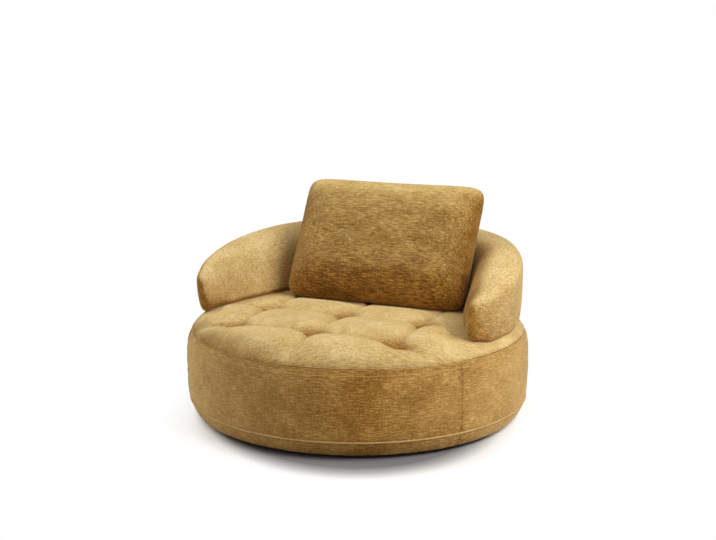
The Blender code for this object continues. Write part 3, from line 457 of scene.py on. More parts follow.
# Paler colours, painted where faces turn towards the painted light, for each piece.
PAINTED_LIGHT_COLOURS = ("B58B42", "F2DA9E")
PILLOW_PAINTED_LIGHT_COLOURS = ("A47A34", "E6C984")
SIDE_PAINTED_SHEEN_COLOURS = ("B07E34", "E8C684")
PIPING_GOLD = ("A07A42", "E4C48C", "C6A062")
SEAT_CHENILLE = chenille("seat_chenille_painted_light", GOLD, PAINTED_LIGHT_COLOURS, SEAT_PAINTED_LIGHT_WAY)
SIDE_CHENILLE = chenille("side_chenille_painted_sheen", GOLD, SIDE_PAINTED_SHEEN_COLOURS, SIDE_PAINTED_SHEEN_WAY)
ARM_CHENILLE = chenille("back_chenille_painted_light", GOLD, PAINTED_LIGHT_COLOURS, ARM_PAINTED_LIGHT_WAY)
PILLOW_CHENILLE = chenille("pillow_chenille_slubbed_painted_shade", PILLOW_PAINTED_SHADE_GOLD, PILLOW_PAINTED_LIGHT_COLOURS, PILLOW_PAINTED_LIGHT_WAY, 1.2)
PIPING_CHENILLE = chenille("piping_chenille_bias_cut", PIPING_GOLD, PAINTED_LIGHT_COLOURS, SIDE_PAINTED_SHEEN_WAY, 0.5)
print("slub", SLUB_LENGTH * 1000, "x", SLUB_WIDTH * 1000, "mm")

# %% [markdown]
# What is inside the chair hardly shows, but it is finished too. Each of these materials starts from a
# typical roughness for the real one, and reads Object coordinates, in metres, so its grain keeps its
# real size: birch grain a few millimetres wide and hand long, foam cells of a millimetre or so, felt
# fibres, brush lines on zinc plate, the dimples of moulded nylon.

# %% Inner materials
GRAIN_DETAIL = 3.0
GRAIN_CONTRAST = (0.3, 0.7)
GRAIN_BUMP = 0.4


def grained(name, root, tip, size, roughness, metallic=0.0, relief=0.0002):
    """A material whose colour and surface follow one noise of that size, (x, y, z) in metres."""
    made, tree, shader = new_material(name, roughness, metallic)
    place = add_node(tree, "TexCoord").outputs["Object"]
    scale = tuple(1 / value for value in size)
    scaled = add_node(tree, "VectorMath", {0: place, 1: scale}, operation="MULTIPLY").outputs[0]
    grain = add_node(tree, "TexNoise", {"Vector": scaled, "Scale": 1.0, "Detail": GRAIN_DETAIL}).outputs[0]
    colour = add_node(tree, "ValToRGB", {"Fac": grain}, stops=list(zip(GRAIN_CONTRAST, (root, tip))))
    bump = add_node(tree, "Bump", {"Height": grain, "Strength": GRAIN_BUMP, "Distance": relief})
    tree.links.new(colour.outputs["Color"], shader.inputs["Base Color"])
    tree.links.new(bump.outputs["Normal"], shader.inputs["Normal"])
    return made


GRAINS = {
    "birch_plywood_sanded": ("B48D57", "DDBF90", (0.120, 0.004, 0.0016), 0.55),
    "hardboard_bent": ("7A5534", "96704A", (0.003, 0.003, 0.003), 0.7),
    "zinc_plated_steel": ("A6A9AD", "C9CCD0", (0.0008, 0.030, 0.01), 0.34, 1.0),
    "screw_steel_zinc_plated": ("98999C", "BDBFC2", (0.001, 0.001, 0.001), 0.4, 1.0),
    "bearing_steel_polished": ("CED0D3", "E2E3E5", (0.004, 0.004, 0.004), 0.12, 1.0),
    "nylon_moulded_black": ("161618", "26262A", (0.0012, 0.0012, 0.0012), 0.5),
    "felt_pressed_grey": ("55534F", "7C7A75", (0.004, 0.0012, 0.002), 0.95),
    "lining_nonwoven_black": ("121213", "242426", (0.0025, 0.0025, 0.0025), 0.9),
    "nylon_tie_white": ("D5D2C8", "EBE8DF", (0.002, 0.002, 0.006), 0.5),
    "foam_cream": ("D9CFB2", "EDE6CF", (0.0018, 0.0018, 0.0018), 0.95, 0.0, 0.0006),
    "fibre_white_carded": ("E4E2DC", "F6F5F1", (0.030, 0.004, 0.006), 0.95, 0.0, 0.001),
    "zip_tape_woven": ("77582E", "977344", (0.0020, 0.0012, 0.0012), 0.75),
    "zip_coil_nylon": ("6E5128", "8C6A3C", (0.0010, 0.0010, 0.0010), 0.35),
    "sewing_thread": ("C9A766", "E8D09C", (0.0012, 0.0012, 0.0012), 0.6),
}
FINISHES = {name: grained(name, *facts) for name, facts in GRAINS.items()}
KEPT_NODES = {
    "birch_plywood_sanded": ("floor_board", "base_board", "skirt_ring", "rib_", "seat_deck", "back_frame"),
    "hardboard_bent": ("side_hoop",),
    "zinc_plated_steel": ("swivel_",),
    "screw_steel_zinc_plated": ("lower_plate_screw_", "upper_plate_screw_"),
    "bearing_steel_polished": ("bearing_ball_",),
    "nylon_moulded_black": ("bearing_cage",),
    "felt_pressed_grey": ("floor_glide_",),
    "lining_nonwoven_black": ("dust_cover",),
    "nylon_tie_white": ("tuft_tie_",),
}
finished = 0
for finish_name, prefixes in KEPT_NODES.items():
    for node_name, node in frame["nodes"].items():
        if node_name.startswith(prefixes):
            node.data.materials.clear()
            node.data.materials.append(FINISHES[finish_name])
            finished += 1
print(finished, "hard pieces keep their mesh")

# %% [markdown]
# Every soft piece starts as a bmesh and ends the same way, so one function finishes them: it welds
# doubles, turns the faces outwards, gives the mesh its material, shades it smooth, makes it ride on its
# body and says which bodies of the frame it stands for. Much of the chair is round, so another spins
# what a bmesh holds about the chair's axis.

# %% Helpers for pieces
WELD = 0.00002


def new_cloth():
    """An empty bmesh, and the layers that hold each point's place on the cloth, in metres, and how deep
    in a fold it is, which paints shade into its colour there."""
    bm = bmesh.new()
    bm.verts.layers.float_vector.new("weave")
    bm.verts.layers.float.new("fold")
    return bm, bm.verts.layers.float_vector["weave"]


def finish_piece(name, bm, material, body, slot, replaced=(), turn_outwards=True):
    """Makes a bmesh a finished piece of the chair."""
    if turn_outwards:
        bmesh.ops.remove_doubles(bm, verts=bm.verts, dist=WELD)
        bmesh.ops.recalc_face_normals(bm, faces=bm.faces)
    mesh = bpy.data.meshes.new(name)
    bm.to_mesh(mesh)
    bm.free()
    mesh.materials.append(material)
    mesh.shade_smooth()
    piece = add_object(name, mesh)
    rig.ride(piece, body)
    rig.slot(piece, slot)
    if replaced:
        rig.replaces(piece, *replaced)
    print(name, len(mesh.polygons), "faces")
    return piece


def spin_all(bm, angle, steps, **settings):
    """Spins everything in a bmesh about the chair's axis, by an angle in radians."""
    bmesh.ops.spin(bm, geom=bm.verts[:] + bm.edges[:], axis=(0, 0, 1), angle=angle, steps=steps, **settings)


def smooth(share):
    """Smooth step from 0 to 1."""
    share = min(1.0, max(0.0, share))
    return share * share * (3.0 - 2.0 * share)


def chair_angle(x, y):
    """Angle in degrees from the chair's front, positive to the right of someone who faces it."""
    return math.degrees(math.atan2(x, -y))


def on_circle(angle, radius, height):
    """A point at an angle from the front, a radius and a height."""
    turned = math.radians(angle)
    return Vector((radius * math.sin(turned), -radius * math.cos(turned), height))


# %% [markdown]
# The drum's outline is one smooth curve: nearly upright from the floor to the seam, with a small tuck
# at the foot, and a full round shoulder over the seam. Two superellipses give it. The frame gives the
# radius and the heights where its pieces meet.

# %% Outline of the drum
SIDE_LOW, SIDE_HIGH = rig.box("side_cover")
HEM_LOW, HEM_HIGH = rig.box("hem_band")
PIPING_LOW, PIPING_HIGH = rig.box("hem_piping")
PAD_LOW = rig.box("seat_pad")[0]
PILLOW_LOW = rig.box("pillow_cover")[0]
BACK_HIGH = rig.box("back_cover")[1]
FOAM_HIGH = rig.box("seat_foam")[1]
SOFT_GAP = 0.0006
DRUM_RADIUS = SIDE_HIGH.x
FLOOR_CLEARANCE = HEM_LOW.z
TOP_SEAM = PAD_LOW.z
SEAT_HEIGHT = PILLOW_LOW.z - SOFT_GAP
PIPING_HEIGHT = (PIPING_LOW.z + PIPING_HIGH.z) / 2
WIDEST_HEIGHT = 0.200
SHOULDER_WIDTH = 0.350
SHOULDER_SQUARENESS = 3.7
FOOT_TUCK = 0.032
FOOT_SQUARENESS = 5.25


def drum_radius(height):
    """Outer radius of the drum at a height."""
    if height < WIDEST_HEIGHT:
        drop = (WIDEST_HEIGHT - height) / (WIDEST_HEIGHT - FLOOR_CLEARANCE)
        return DRUM_RADIUS - FOOT_TUCK * drop**FOOT_SQUARENESS
    rise = min(1.0, (height - WIDEST_HEIGHT) / (SEAT_HEIGHT - WIDEST_HEIGHT))
    across = (1.0 - rise**SHOULDER_SQUARENESS) ** (1.0 / SHOULDER_SQUARENESS)
    return DRUM_RADIUS - SHOULDER_WIDTH * (1.0 - across)


def shoulder_height(radius):
    """Height of the seat's surface without its tufts, at a radius."""
    across = min(1.0, max(0.0, 1.0 - (DRUM_RADIUS - radius) / SHOULDER_WIDTH))
    rise = (1.0 - across**SHOULDER_SQUARENESS) ** (1.0 / SHOULDER_SQUARENESS)
    return WIDEST_HEIGHT + (SEAT_HEIGHT - WIDEST_HEIGHT) * rise


print("drum", round(DRUM_RADIUS, 4), "seam", round(TOP_SEAM, 4), "seat", round(SEAT_HEIGHT, 4))

# %% [markdown]
# The seat is blind tufted: nine ties pull the cover down, and folded creases join them, so the cover
# stands up between them in soft crowns. Each crease is sharp and deep next to a tie, where the cloth is
# folded, and shallow and wide half way to the next. A falling exponential of the distance to a crease
# has that shape, and the product over all of them lets crowns meet in the corners. Next to a tie and
# along the creases, the fold attribute says how deep in a fold a point is, and paints shade there.

# %% Tufts
TUFT_COLUMNS = 3
TUFT_ROWS = 3
TUFT_PITCH_X = 0.310
TUFT_PITCH_Y = 0.260
TUFT_MIDDLE_X = 0.020
TUFT_FRONT_Y = -0.420
CROWN_RISE = 0.021
CREASE_SINK = 0.017
CREASE_WIDTH = (0.012, 0.034)
CREASE_REACH = 0.110
SHALLOW_SHARE = 0.45
TUFT_SINK = 0.013
TUFT_WIDTH = 0.036
EDGE_FADE = (0.012, 0.085)
FOLD_SHADE_WIDTH = 0.012
FOLD_SHADE_PIT = 0.038
FOLD_SHADE_SHARE = 0.9
ARM_TIP_ANGLE = 62.0


def tuft_rows():
    """Places of the tufts, by row from the front."""
    half = (TUFT_COLUMNS - 1) / 2
    xs = [TUFT_MIDDLE_X + (column - half) * TUFT_PITCH_X for column in range(TUFT_COLUMNS)]
    return [[(x, TUFT_FRONT_Y + row * TUFT_PITCH_Y) for x in xs] for row in range(TUFT_ROWS)]


def crease_lines():
    """Creases between neighbouring tufts, and from the outer ones to the seat's edge."""
    rows = tuft_rows()
    lines = []
    for row in rows:
        lines += list(zip(row, row[1:]))
        lines.append((row[0], (-DRUM_RADIUS, row[0][1])))
        lines.append((row[-1], (DRUM_RADIUS, row[-1][1])))
    for near, far in zip(rows, rows[1:]):
        lines += list(zip(near, far))
    middle = rows[0][TUFT_COLUMNS // 2]
    lines.append((middle, (middle[0], -DRUM_RADIUS)))
    return lines


CREASES = crease_lines()
TUFTS = [tuft for row in tuft_rows() for tuft in row]


def distance_to_line(x, y, line):
    """Distance in plan from a point to a straight stretch."""
    (ax, ay), (bx, by) = line
    along_x, along_y = bx - ax, by - ay
    share = ((x - ax) * along_x + (y - ay) * along_y) / (along_x**2 + along_y**2)
    share = min(1.0, max(0.0, share))
    return math.hypot(x - ax - share * along_x, y - ay - share * along_y)


def tuft_relief(x, y):
    """Height of the tufted surface over the plain one."""
    to_tuft = min(math.hypot(x - tuft_x, y - tuft_y) for tuft_x, tuft_y in TUFTS)
    near = math.exp(-to_tuft / CREASE_REACH)
    width = CREASE_WIDTH[1] + (CREASE_WIDTH[0] - CREASE_WIDTH[1]) * near
    depth = SHALLOW_SHARE + (1.0 - SHALLOW_SHARE) * near
    puff = 1.0
    for line in CREASES:
        puff *= 1.0 - depth * math.exp(-distance_to_line(x, y, line) / width)
    pit = math.exp(-((to_tuft / TUFT_WIDTH) ** 2))
    return (CROWN_RISE + CREASE_SINK) * puff - CREASE_SINK - TUFT_SINK * pit


def tuft_fold_shade(x, y):
    """How deep in a fold of the seat a point is, from 0 to 1, which is painted as shade."""
    to_tuft = min(math.hypot(x - tuft_x, y - tuft_y) for tuft_x, tuft_y in TUFTS)
    to_crease = min(distance_to_line(x, y, line) for line in CREASES)
    along_crease = math.exp(-to_tuft / CREASE_REACH - to_crease / FOLD_SHADE_WIDTH)
    return min(1.0, math.exp(-((to_tuft / FOLD_SHADE_PIT) ** 2)) + FOLD_SHADE_SHARE * along_crease)


print(len(TUFTS), "tufts,", len(CREASES), "creases")

# %% [markdown]
# The back is a crescent: a thick padded wall whose section is a superellipse, low and blunt at the two
# arm tips and taller behind the pillow. Its inner face leans outwards, opens out towards the tips, and
# comes forward behind the pillow to carry it. Its foot is rounded where it meets the seat, which
# leaves a dark crease there. One function gives the section's points at an angle. The seat lies plain
# where the arms, the back and the pillow press on it.

# %% Outline of the back
BACK_OUTER = 0.620
FOOT_INSET = 0.005
FOOT_SHARE = 0.625
TOP_FLARE = 0.0175
BACK_CREST = BACK_HIGH.z
ARM_TIP_CREST = 0.516
CREST_POWER = 2.5
BACK_WIDEST = 0.487
BACK_ROOT = 0.240
BACK_INNER = 0.3543
ARM_TIP_INNER = 0.5555
FLARE_ANGLE = 122.0
FLARE_POWER = 3.6
BACK_SLANT = 0.120
BED_START = 112.0
BED_SPAN = 60.0
BED_INNER = 0.1799
TIP_START = 64.0
TIP_CENTRE = 0.592
TIP_INNER_LIMIT = 0.574
TIP_ROUNDING = 0.160
TIP_CURVE = 5.0
TIP_NOSE = 0.032
TIP_SHARPNESS = 0.8
BACK_SQUARENESS = 2.9
TIP_SQUARENESS = 2.1
FOOT_FROM = 0.42
FOOT_ROUND = 0.020
FOOT_ROUND_SHARE = 0.3
PRESSED_MARGIN = (0.060, 0.050)
PRESSED_ANGLES = (11.0, 8.0)
UNDER_PILLOW = (0.010, 0.060)


def back_inner_radius(angle):
    """Radius of the back's inner face at its root, at an angle from the front."""
    share = min(1.0, max(0.0, (FLARE_ANGLE - angle) / (FLARE_ANGLE - ARM_TIP_ANGLE)))
    radius = BACK_INNER + (ARM_TIP_INNER - BACK_INNER) * share**FLARE_POWER
    return radius - (BACK_INNER - BED_INNER) * smooth((angle - BED_START) / BED_SPAN)


def back_crest(angle):
    """Height of the back's crest at an angle from the front."""
    share = (angle - ARM_TIP_ANGLE) / (180.0 - ARM_TIP_ANGLE)
    return BACK_CREST - (BACK_CREST - ARM_TIP_CREST) * (1.0 - share) ** CREST_POWER


def back_face(angle, height, full, squareness, side):
    """Radius of the back's outer (side 1) or inner (side -1) face at a height. full is 1 along the arms
    and the back, and falls to 0 at an arm's tip."""
    top = BACK_WIDEST + (back_crest(angle) - BACK_WIDEST) * full
    low = BACK_WIDEST - (BACK_WIDEST - BACK_ROOT) * full
    reach = top - BACK_WIDEST if height > BACK_WIDEST else BACK_WIDEST - low
    up = min(1.0, abs(height - BACK_WIDEST) / max(reach, WELD))
    across = (1.0 - up**squareness) ** (1.0 / squareness)
    share = max(0.0, (height - BACK_ROOT) / (BACK_CREST - BACK_ROOT))
    inner = min(back_inner_radius(angle) + BACK_SLANT * share, TIP_INNER_LIMIT)
    outer = BACK_OUTER - FOOT_INSET * (1.0 - smooth(share / FOOT_SHARE))
    outer += TOP_FLARE * smooth((share - FOOT_SHARE) / (1.0 - FOOT_SHARE))
    centre = TIP_CENTRE - TIP_CURVE * (height - BACK_WIDEST) ** 2
    from_tip = TIP_ROUNDING * (1.0 - math.sqrt(max(0.0, 1.0 - full ** (2.0 / TIP_SHARPNESS))))
    wide = math.sqrt(1.0 - (1.0 - min(1.0, from_tip / TIP_NOSE)) ** 2)
    inner = centre + (inner - centre) * wide
    outer = centre + (outer - centre) * wide
    return (inner + outer) / 2 + side * across * (outer - inner) / 2


def back_foot(angle, full, squareness, side):
    """(radius, height) where that face ends, on the seat or where the section closes over it."""
    low = BACK_WIDEST - (BACK_WIDEST - BACK_ROOT) * full
    height = max(low, SEAT_HEIGHT)
    for _ in range(3):
        radius = back_face(angle, height, full, squareness, side)
        height = max(low, shoulder_height(radius) + SOFT_GAP)
    return radius, height


def back_point(angle, turned, full, squareness):
    """(radius, height) on the back's section. turned runs round it from its outer side, over the crest,
    down its inner side to the seat, and back along the foot."""
    power = 2.0 / squareness
    if turned <= math.pi:
        top = BACK_WIDEST + (back_crest(angle) - BACK_WIDEST) * full
        height = BACK_WIDEST + max(0.0, math.sin(turned)) ** power * (top - BACK_WIDEST)
        return back_face(angle, height, full, squareness, math.copysign(1.0, math.cos(turned))), height
    under = turned / math.pi - 1.0
    side = -1.0 if under < 0.5 else 1.0
    down = min(under, 1.0 - under) / FOOT_FROM
    radius, foot = back_foot(angle, full, squareness, side)
    other, other_foot = back_foot(angle, full, squareness, -side)
    cut_off = foot - BACK_WIDEST + (BACK_WIDEST - BACK_ROOT) * full
    rounding = min(FOOT_ROUND, FOOT_ROUND_SHARE * abs(radius - other)) * smooth(cut_off / FOOT_ROUND)
    if down >= 1.0:
        share = (down - 1.0) * FOOT_FROM / (0.5 - FOOT_FROM) / 2
        near, far = radius - side * rounding, other + side * rounding
        return near + (far - near) * share, foot + (other_foot - foot) * share
    height = BACK_WIDEST - math.sin(math.pi / 2 * down) ** power * (BACK_WIDEST - foot)
    radius = back_face(angle, height, full, squareness, side)
    above = min(1.0, (height - foot) / FOOT_ROUND)
    return radius - side * rounding * (1.0 - math.sqrt(1.0 - (1.0 - above) ** 2)), height


def plain_under_back(x, y):
    """1 where the back and arms press the seat flat, and 0 in the open."""
    radius = math.hypot(x, y)
    angle = abs(chair_angle(x, y))
    near_back = smooth((radius - back_inner_radius(angle) + PRESSED_MARGIN[0]) / PRESSED_MARGIN[1])
    return near_back * smooth((angle - ARM_TIP_ANGLE + PRESSED_ANGLES[0]) / PRESSED_ANGLES[1])


def seat_relief(x, y):
    """The tufts' relief, faded out at the seat's edge, under the back and under the pillow."""
    relief = tuft_relief(x, y)
    relief *= smooth((DRUM_RADIUS - EDGE_FADE[0] - math.hypot(x, y)) / EDGE_FADE[1])
    relief *= 1.0 - plain_under_back(x, y)
    if relief > 0.0:
        relief *= smooth((PILLOW_LOW.y + UNDER_PILLOW[0] - y) / UNDER_PILLOW[1])
    return relief


print("crest", round(BACK_CREST, 4))

# %% [markdown]
# A round pad could be spun from its outline, but a spun mesh crowds its points at the middle, where
# the tufts need an even mesh. So the seat starts as a square grid, which is bent into a disc: each
# row and column bows outwards until the corners lie on the circle. The distance from the middle then
# says how far a point is along the outline, over the flat top and down the shoulder to the seam. At
# the seam the cloth rolls in to its stitches and puckers a little.

# %% Seat cushion
SEAT_CELLS = 216
OUTLINE_STEPS = 240
SKIRT_INNER = FOAM_HIGH.x + 0.0023
PAD_BASE = FOAM_HIGH.z + SOFT_GAP / 2
SEAM_ROLL = 0.0006
SEAM_ROLL_WIDTH = 0.0040
WEFT_TURN = 24.0
PUCKER_DEPTH = 0.0016
PUCKER_PITCH = 0.016
PUCKER_REACH = 0.016
UNDULATION = 0.0014
UNDULATION_SIZE = 0.11


def pucker(along, away):
    """How far cloth stands out by the gathers at a seam, at a length along it and a distance away."""
    gathers = noise.noise(Vector((along / PUCKER_PITCH, away / PUCKER_PITCH * 0.35, 3.7)))
    return PUCKER_DEPTH * gathers * math.exp(-away / PUCKER_REACH)


def seat_outline():
    """(length along it, radius, height) from the middle of the seat to the seam."""
    points = [(0.0, 0.0, SEAT_HEIGHT)]
    flat = DRUM_RADIUS - SHOULDER_WIDTH
    seam_rise = (TOP_SEAM - WIDEST_HEIGHT) / (SEAT_HEIGHT - WIDEST_HEIGHT)
    last = math.asin(seam_rise ** (SHOULDER_SQUARENESS / 2))
    power = 2.0 / SHOULDER_SQUARENESS
    for step in range(OUTLINE_STEPS + 1):
        turned = math.pi / 2 + (last - math.pi / 2) * step / OUTLINE_STEPS
        radius = flat + SHOULDER_WIDTH * max(0.0, math.cos(turned)) ** power
        height = WIDEST_HEIGHT + (SEAT_HEIGHT - WIDEST_HEIGHT) * math.sin(turned) ** power
        length = points[-1][0] + math.hypot(radius - points[-1][1], height - points[-1][2])
        points.append((length, radius, height))
    return points


SEAT_OUTLINE = seat_outline()
SEAT_REACH = SEAT_OUTLINE[-1][0]


def along_outline(length):
    """(radius, height) at a length along the seat's outline."""
    low, high = 0, len(SEAT_OUTLINE) - 1
    while high - low > 1:
        middle = (low + high) // 2
        if SEAT_OUTLINE[middle][0] <= length:
            low = middle
        else:
            high = middle
    first, second = SEAT_OUTLINE[low], SEAT_OUTLINE[high]
    share = min(1.0, (length - first[0]) / (second[0] - first[0]))
    return first[1] + share * (second[1] - first[1]), first[2] + share * (second[2] - first[2])


def make_seat():
    """The tufted seat cushion. Its cloth is laid with the weft turned from the rows of tufts."""
    bm, weave = new_cloth()
    fold = bm.verts.layers.float["fold"]
    bmesh.ops.create_grid(bm, x_segments=SEAT_CELLS, y_segments=SEAT_CELLS, size=1.0)
    for vert in bm.verts:
        x, y = vert.co.x, vert.co.y
        disc = Vector((x * math.sqrt(1 - y * y / 2), y * math.sqrt(1 - x * x / 2)))
        length = min(1.0, disc.length) * SEAT_REACH
        radius, height = along_outline(length)
        way = disc.normalized() if disc.length > 0 else Vector((0, 0))
        to_seam = SEAT_REACH - length
        arc = math.radians(chair_angle(way.x, way.y)) * DRUM_RADIUS
        radius -= SEAM_ROLL * math.exp(-to_seam / SEAM_ROLL_WIDTH) - pucker(arc, to_seam)
        vert.co = (way.x * radius, way.y * radius, height)
        vert.co.z += seat_relief(vert.co.x, vert.co.y)
        in_the_open = smooth((DRUM_RADIUS - EDGE_FADE[0] - radius) / EDGE_FADE[1])
        # How deep in a fold a point is paints shade into its colour there.
        vert[fold] = tuft_fold_shade(vert.co.x, vert.co.y) * in_the_open
        vert[weave] = Matrix.Rotation(-math.radians(WEFT_TURN), 3, "Z") @ (way * length).to_3d()
    rim = [edge for edge in bm.edges if edge.is_boundary]
    for radius, height in ((SKIRT_INNER, TOP_SEAM), (SKIRT_INNER, PAD_BASE)):
        grown = bmesh.ops.extrude_edge_only(bm, edges=rim)["geom"]
        for vert in (item for item in grown if isinstance(item, bmesh.types.BMVert)):
            outwards = vert.co.to_2d().normalized() * radius
            vert.co = (outwards.x, outwards.y, height)
        rim = [item for item in grown if isinstance(item, bmesh.types.BMEdge) and item.is_boundary]
    bmesh.ops.contextual_create(bm, geom=rim)
    return finish_piece("seat_cushion", bm, SEAT_CHENILLE, "seat", "chenille", ("seat_pad",))


seat_cushion = make_seat()
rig.padded(seat_cushion, fill=0.8)

# %% [markdown]
# The side of the drum is sewn from three panels that meet in upright seams: two under the arm tips and
# one at the back. A panel is a strip spun round the axis. The spin spaces its columns evenly, so they
# are then crowded towards the two ends. At each seam one panel's edge is folded over and stands a
# little proud, and the next panel's edge is tucked in behind it. A solidify modifier gives the strip
# the thickness of the cloth and its wadding. The hem below the piping is made the same way, and turns
# in under the drum over a rolled lip.

# %% Side panels and hem
PANEL_SEAMS = (-57.5, 57.5, 180.0)
PANEL_COLUMNS = 240
COVER_THICKNESS = 0.004
LAP_RISE = 0.0020
LAP_WIDTH = 0.006
LAP_TUCK = 0.0032
SEAM_GAP = 0.0008
PIPING_RADIUS = (PIPING_HIGH.z - PIPING_LOW.z) / 2
SIDE_ROWS = 44
HEM_ROWS = 14
HEM_TURN_UNDER = 0.045
HEM_LIP = 0.0022
HEM_LIP_WIDTH = 0.004
TOPSTITCH_DROP = 0.0185
TOPSTITCH_RISE = 0.0010
TOPSTITCH_WIDTH = 0.003
DRAG_DEPTH = 0.0016
DRAG_REACH = 0.045
DRAG_SIZE = (0.014, 0.060)
STEADY_EDGE = 0.03


def crowd(share):
    """Moves an even share from 0 to 1 towards both ends."""
    return 0.5 - 0.5 * math.cos(math.pi * share)


def side_points():
    """Points down the side, from the top seam to the piping, with both edges rolled in."""
    top, low = SIDE_HIGH.z, SIDE_LOW.z
    points = []
    for row in range(SIDE_ROWS + 1):
        height = top + (low - top) * crowd(row / SIDE_ROWS)
        edge = min(top - height, height - low)
        welt = TOPSTITCH_RISE * math.exp(-(((top - height - TOPSTITCH_DROP) / TOPSTITCH_WIDTH) ** 2))
        points.append((drum_radius(height) + welt - SEAM_ROLL * math.exp(-edge / SEAM_ROLL_WIDTH), height))
    return points


def hem_points():
    """Points down the hem, from the piping and in under the drum."""
    top, low = HEM_HIGH.z, FLOOR_CLEARANCE
    points = []
    for row in range(HEM_ROWS + 1):
        height = top + (low - top) * math.sin(math.pi / 2 * row / HEM_ROWS)
        lip = HEM_LIP * math.exp(-(((height - low - HEM_LIP_WIDTH) / HEM_LIP_WIDTH) ** 2))
        roll = SEAM_ROLL * math.exp((height - top) / SEAM_ROLL_WIDTH)
        points.append((drum_radius(height) + lip - roll, height))
    foot = points[-1][0]
    return points + [(foot - HEM_TURN_UNDER * share, low) for share in (0.1, 0.4, 0.7, 1.0)]


def drag(arc, height, to_seam):
    """Short slanting wrinkles where the cloth drags at an upright seam."""
    slanted = noise.noise(Vector(((arc + height) / DRAG_SIZE[0], (height - arc) / DRAG_SIZE[1], 8.1)))
    return DRAG_DEPTH * slanted * math.exp(-to_seam / DRAG_REACH)


def make_panel(name, points, first, last, replaced):
    """One sewn panel between two angles, hung from points of (radius, height)."""
    bm, weave = new_cloth()
    verts = [bm.verts.new(on_circle(first, radius, height)) for radius, height in points]
    for pair in zip(verts, verts[1:]):
        bm.edges.new(pair)
    span = last - first
    spin_all(bm, math.radians(span), PANEL_COLUMNS)
    lengths = [0.0]
    for before, after in zip(points, points[1:]):
        lengths.append(lengths[-1] + math.dist(before, after))
    hangs = {round(point[1], 5): length for point, length in zip(points, lengths)}
    top, low = points[0][1], points[-1][1]
    for vert in bm.verts:
        # Rounding can put a point of the first column just before the start, a whole turn on.
        share = ((chair_angle(vert.co.x, vert.co.y) - first) % 360.0) / span
        share = 0.0 if share > 1.5 else crowd(min(1.0, share))
        radius, height = vert.co.to_2d().length, vert.co.z
        angle = first + span * share
        arc = math.radians(angle) * DRUM_RADIUS
        from_start = math.radians(span) * DRUM_RADIUS * share
        to_end = math.radians(span) * DRUM_RADIUS * (1 - share)
        hang = hangs.get(round(height, 5), 0.0)
        if height <= FLOOR_CLEARANCE + WELD:
            hang = lengths[-1] - (radius - points[-1][0])
        soft = noise.noise(Vector((arc / UNDULATION_SIZE, height / UNDULATION_SIZE * 1.5, 0.0)))
        soft = UNDULATION * soft * smooth(min(from_start, to_end) / STEADY_EDGE)
        lap = LAP_RISE * math.exp(-((to_end / LAP_WIDTH) ** 2))
        lap -= LAP_TUCK * math.exp(-from_start / SEAM_ROLL_WIDTH)
        gathers = pucker(arc, top - height) + pucker(arc + 1.0, height - low)
        radius += soft + lap + gathers + drag(arc, height, min(from_start, to_end))
        inset = math.degrees(SEAM_GAP / DRUM_RADIUS) * (1 - 2 * share)
        vert.co = on_circle(angle + inset, radius, height)
        vert[weave] = (arc, -hang, 0.0)
    piece = finish_piece(name, bm, SIDE_CHENILLE, "seat", "chenille", replaced)
    wall = piece.modifiers.new("cover_and_wadding", "SOLIDIFY")
    wall.thickness = COVER_THICKNESS
    wall.offset = -1.0
    return piece


def turned_out(piece):
    """Turns a panel's faces away from the axis, which a recalculation can't know on an open strip."""
    bm = bmesh.new()
    bm.from_mesh(piece.data)
    if sum(face.normal.dot(face.calc_center_median().to_2d().to_3d()) for face in bm.faces) < 0:
        bmesh.ops.reverse_faces(bm, faces=bm.faces)
        bm.to_mesh(piece.data)
    bm.free()


side_panels = []
for seam_number, start in enumerate(PANEL_SEAMS):
    end = PANEL_SEAMS[seam_number + 1] if seam_number + 1 < len(PANEL_SEAMS) else PANEL_SEAMS[0] + 360.0
    side = ("front", "left", "right")[seam_number]
    side_panels.append(make_panel(f"side_panel_{side}", side_points(), start, end, ("side_cover",)))
    turned_out(side_panels[-1])
    turned_out(make_panel(f"hem_panel_{side}", hem_points(), start, end, ("hem_band",)))

# %% [markdown]
# Piping is a thin cord in a strip of the same cloth, cut on the bias and sewn into the seam. It is a
# ring spun from a small circle. Its colours are paler than the side's, and it takes the same painted
# sheen on the drum's flanks. A much thinner one lies in the top seam, where the photo shows a faint
# pale line.

# %% Piping
PIPING_SIDES = 12
PIPING_STEPS = 256
PIPING_WAVER = 0.0003
PIPING_WAVER_SIZE = 0.03
WELT_RADIUS = 0.0010
WELT_SINK = 0.0003


def make_cord(name, centre, height, cord_radius, replaced):
    """A cord in its strip of cloth, round the drum."""
    bm, weave = new_cloth()
    upright = Matrix.Translation((centre, 0, height)) @ Matrix.Rotation(math.pi / 2, 4, "X")
    bmesh.ops.create_circle(bm, segments=PIPING_SIDES, radius=cord_radius, matrix=upright)
    spin_all(bm, math.tau, PIPING_STEPS, use_merge=True)
    for vert in bm.verts:
        arc = math.radians(chair_angle(vert.co.x, vert.co.y)) * DRUM_RADIUS
        out = vert.co.to_2d().length - centre
        turned = math.atan2(vert.co.z - height, out)
        waver = PIPING_WAVER * noise.noise(Vector((arc / PIPING_WAVER_SIZE, turned, 0.0)))
        vert.co += vert.co.to_2d().normalized().to_3d() * waver
        vert[weave] = (turned * cord_radius, arc, 0.0)
    return finish_piece(name, bm, PIPING_CHENILLE, "seat", "chenille_piping", replaced)


make_cord("hem_piping_cord", PIPING_HIGH.x - PIPING_RADIUS, PIPING_HEIGHT, PIPING_RADIUS, ("hem_piping",))
make_cord("top_seam_welt", drum_radius(TOP_SEAM) - WELT_SINK, TOP_SEAM, WELT_RADIUS, ())

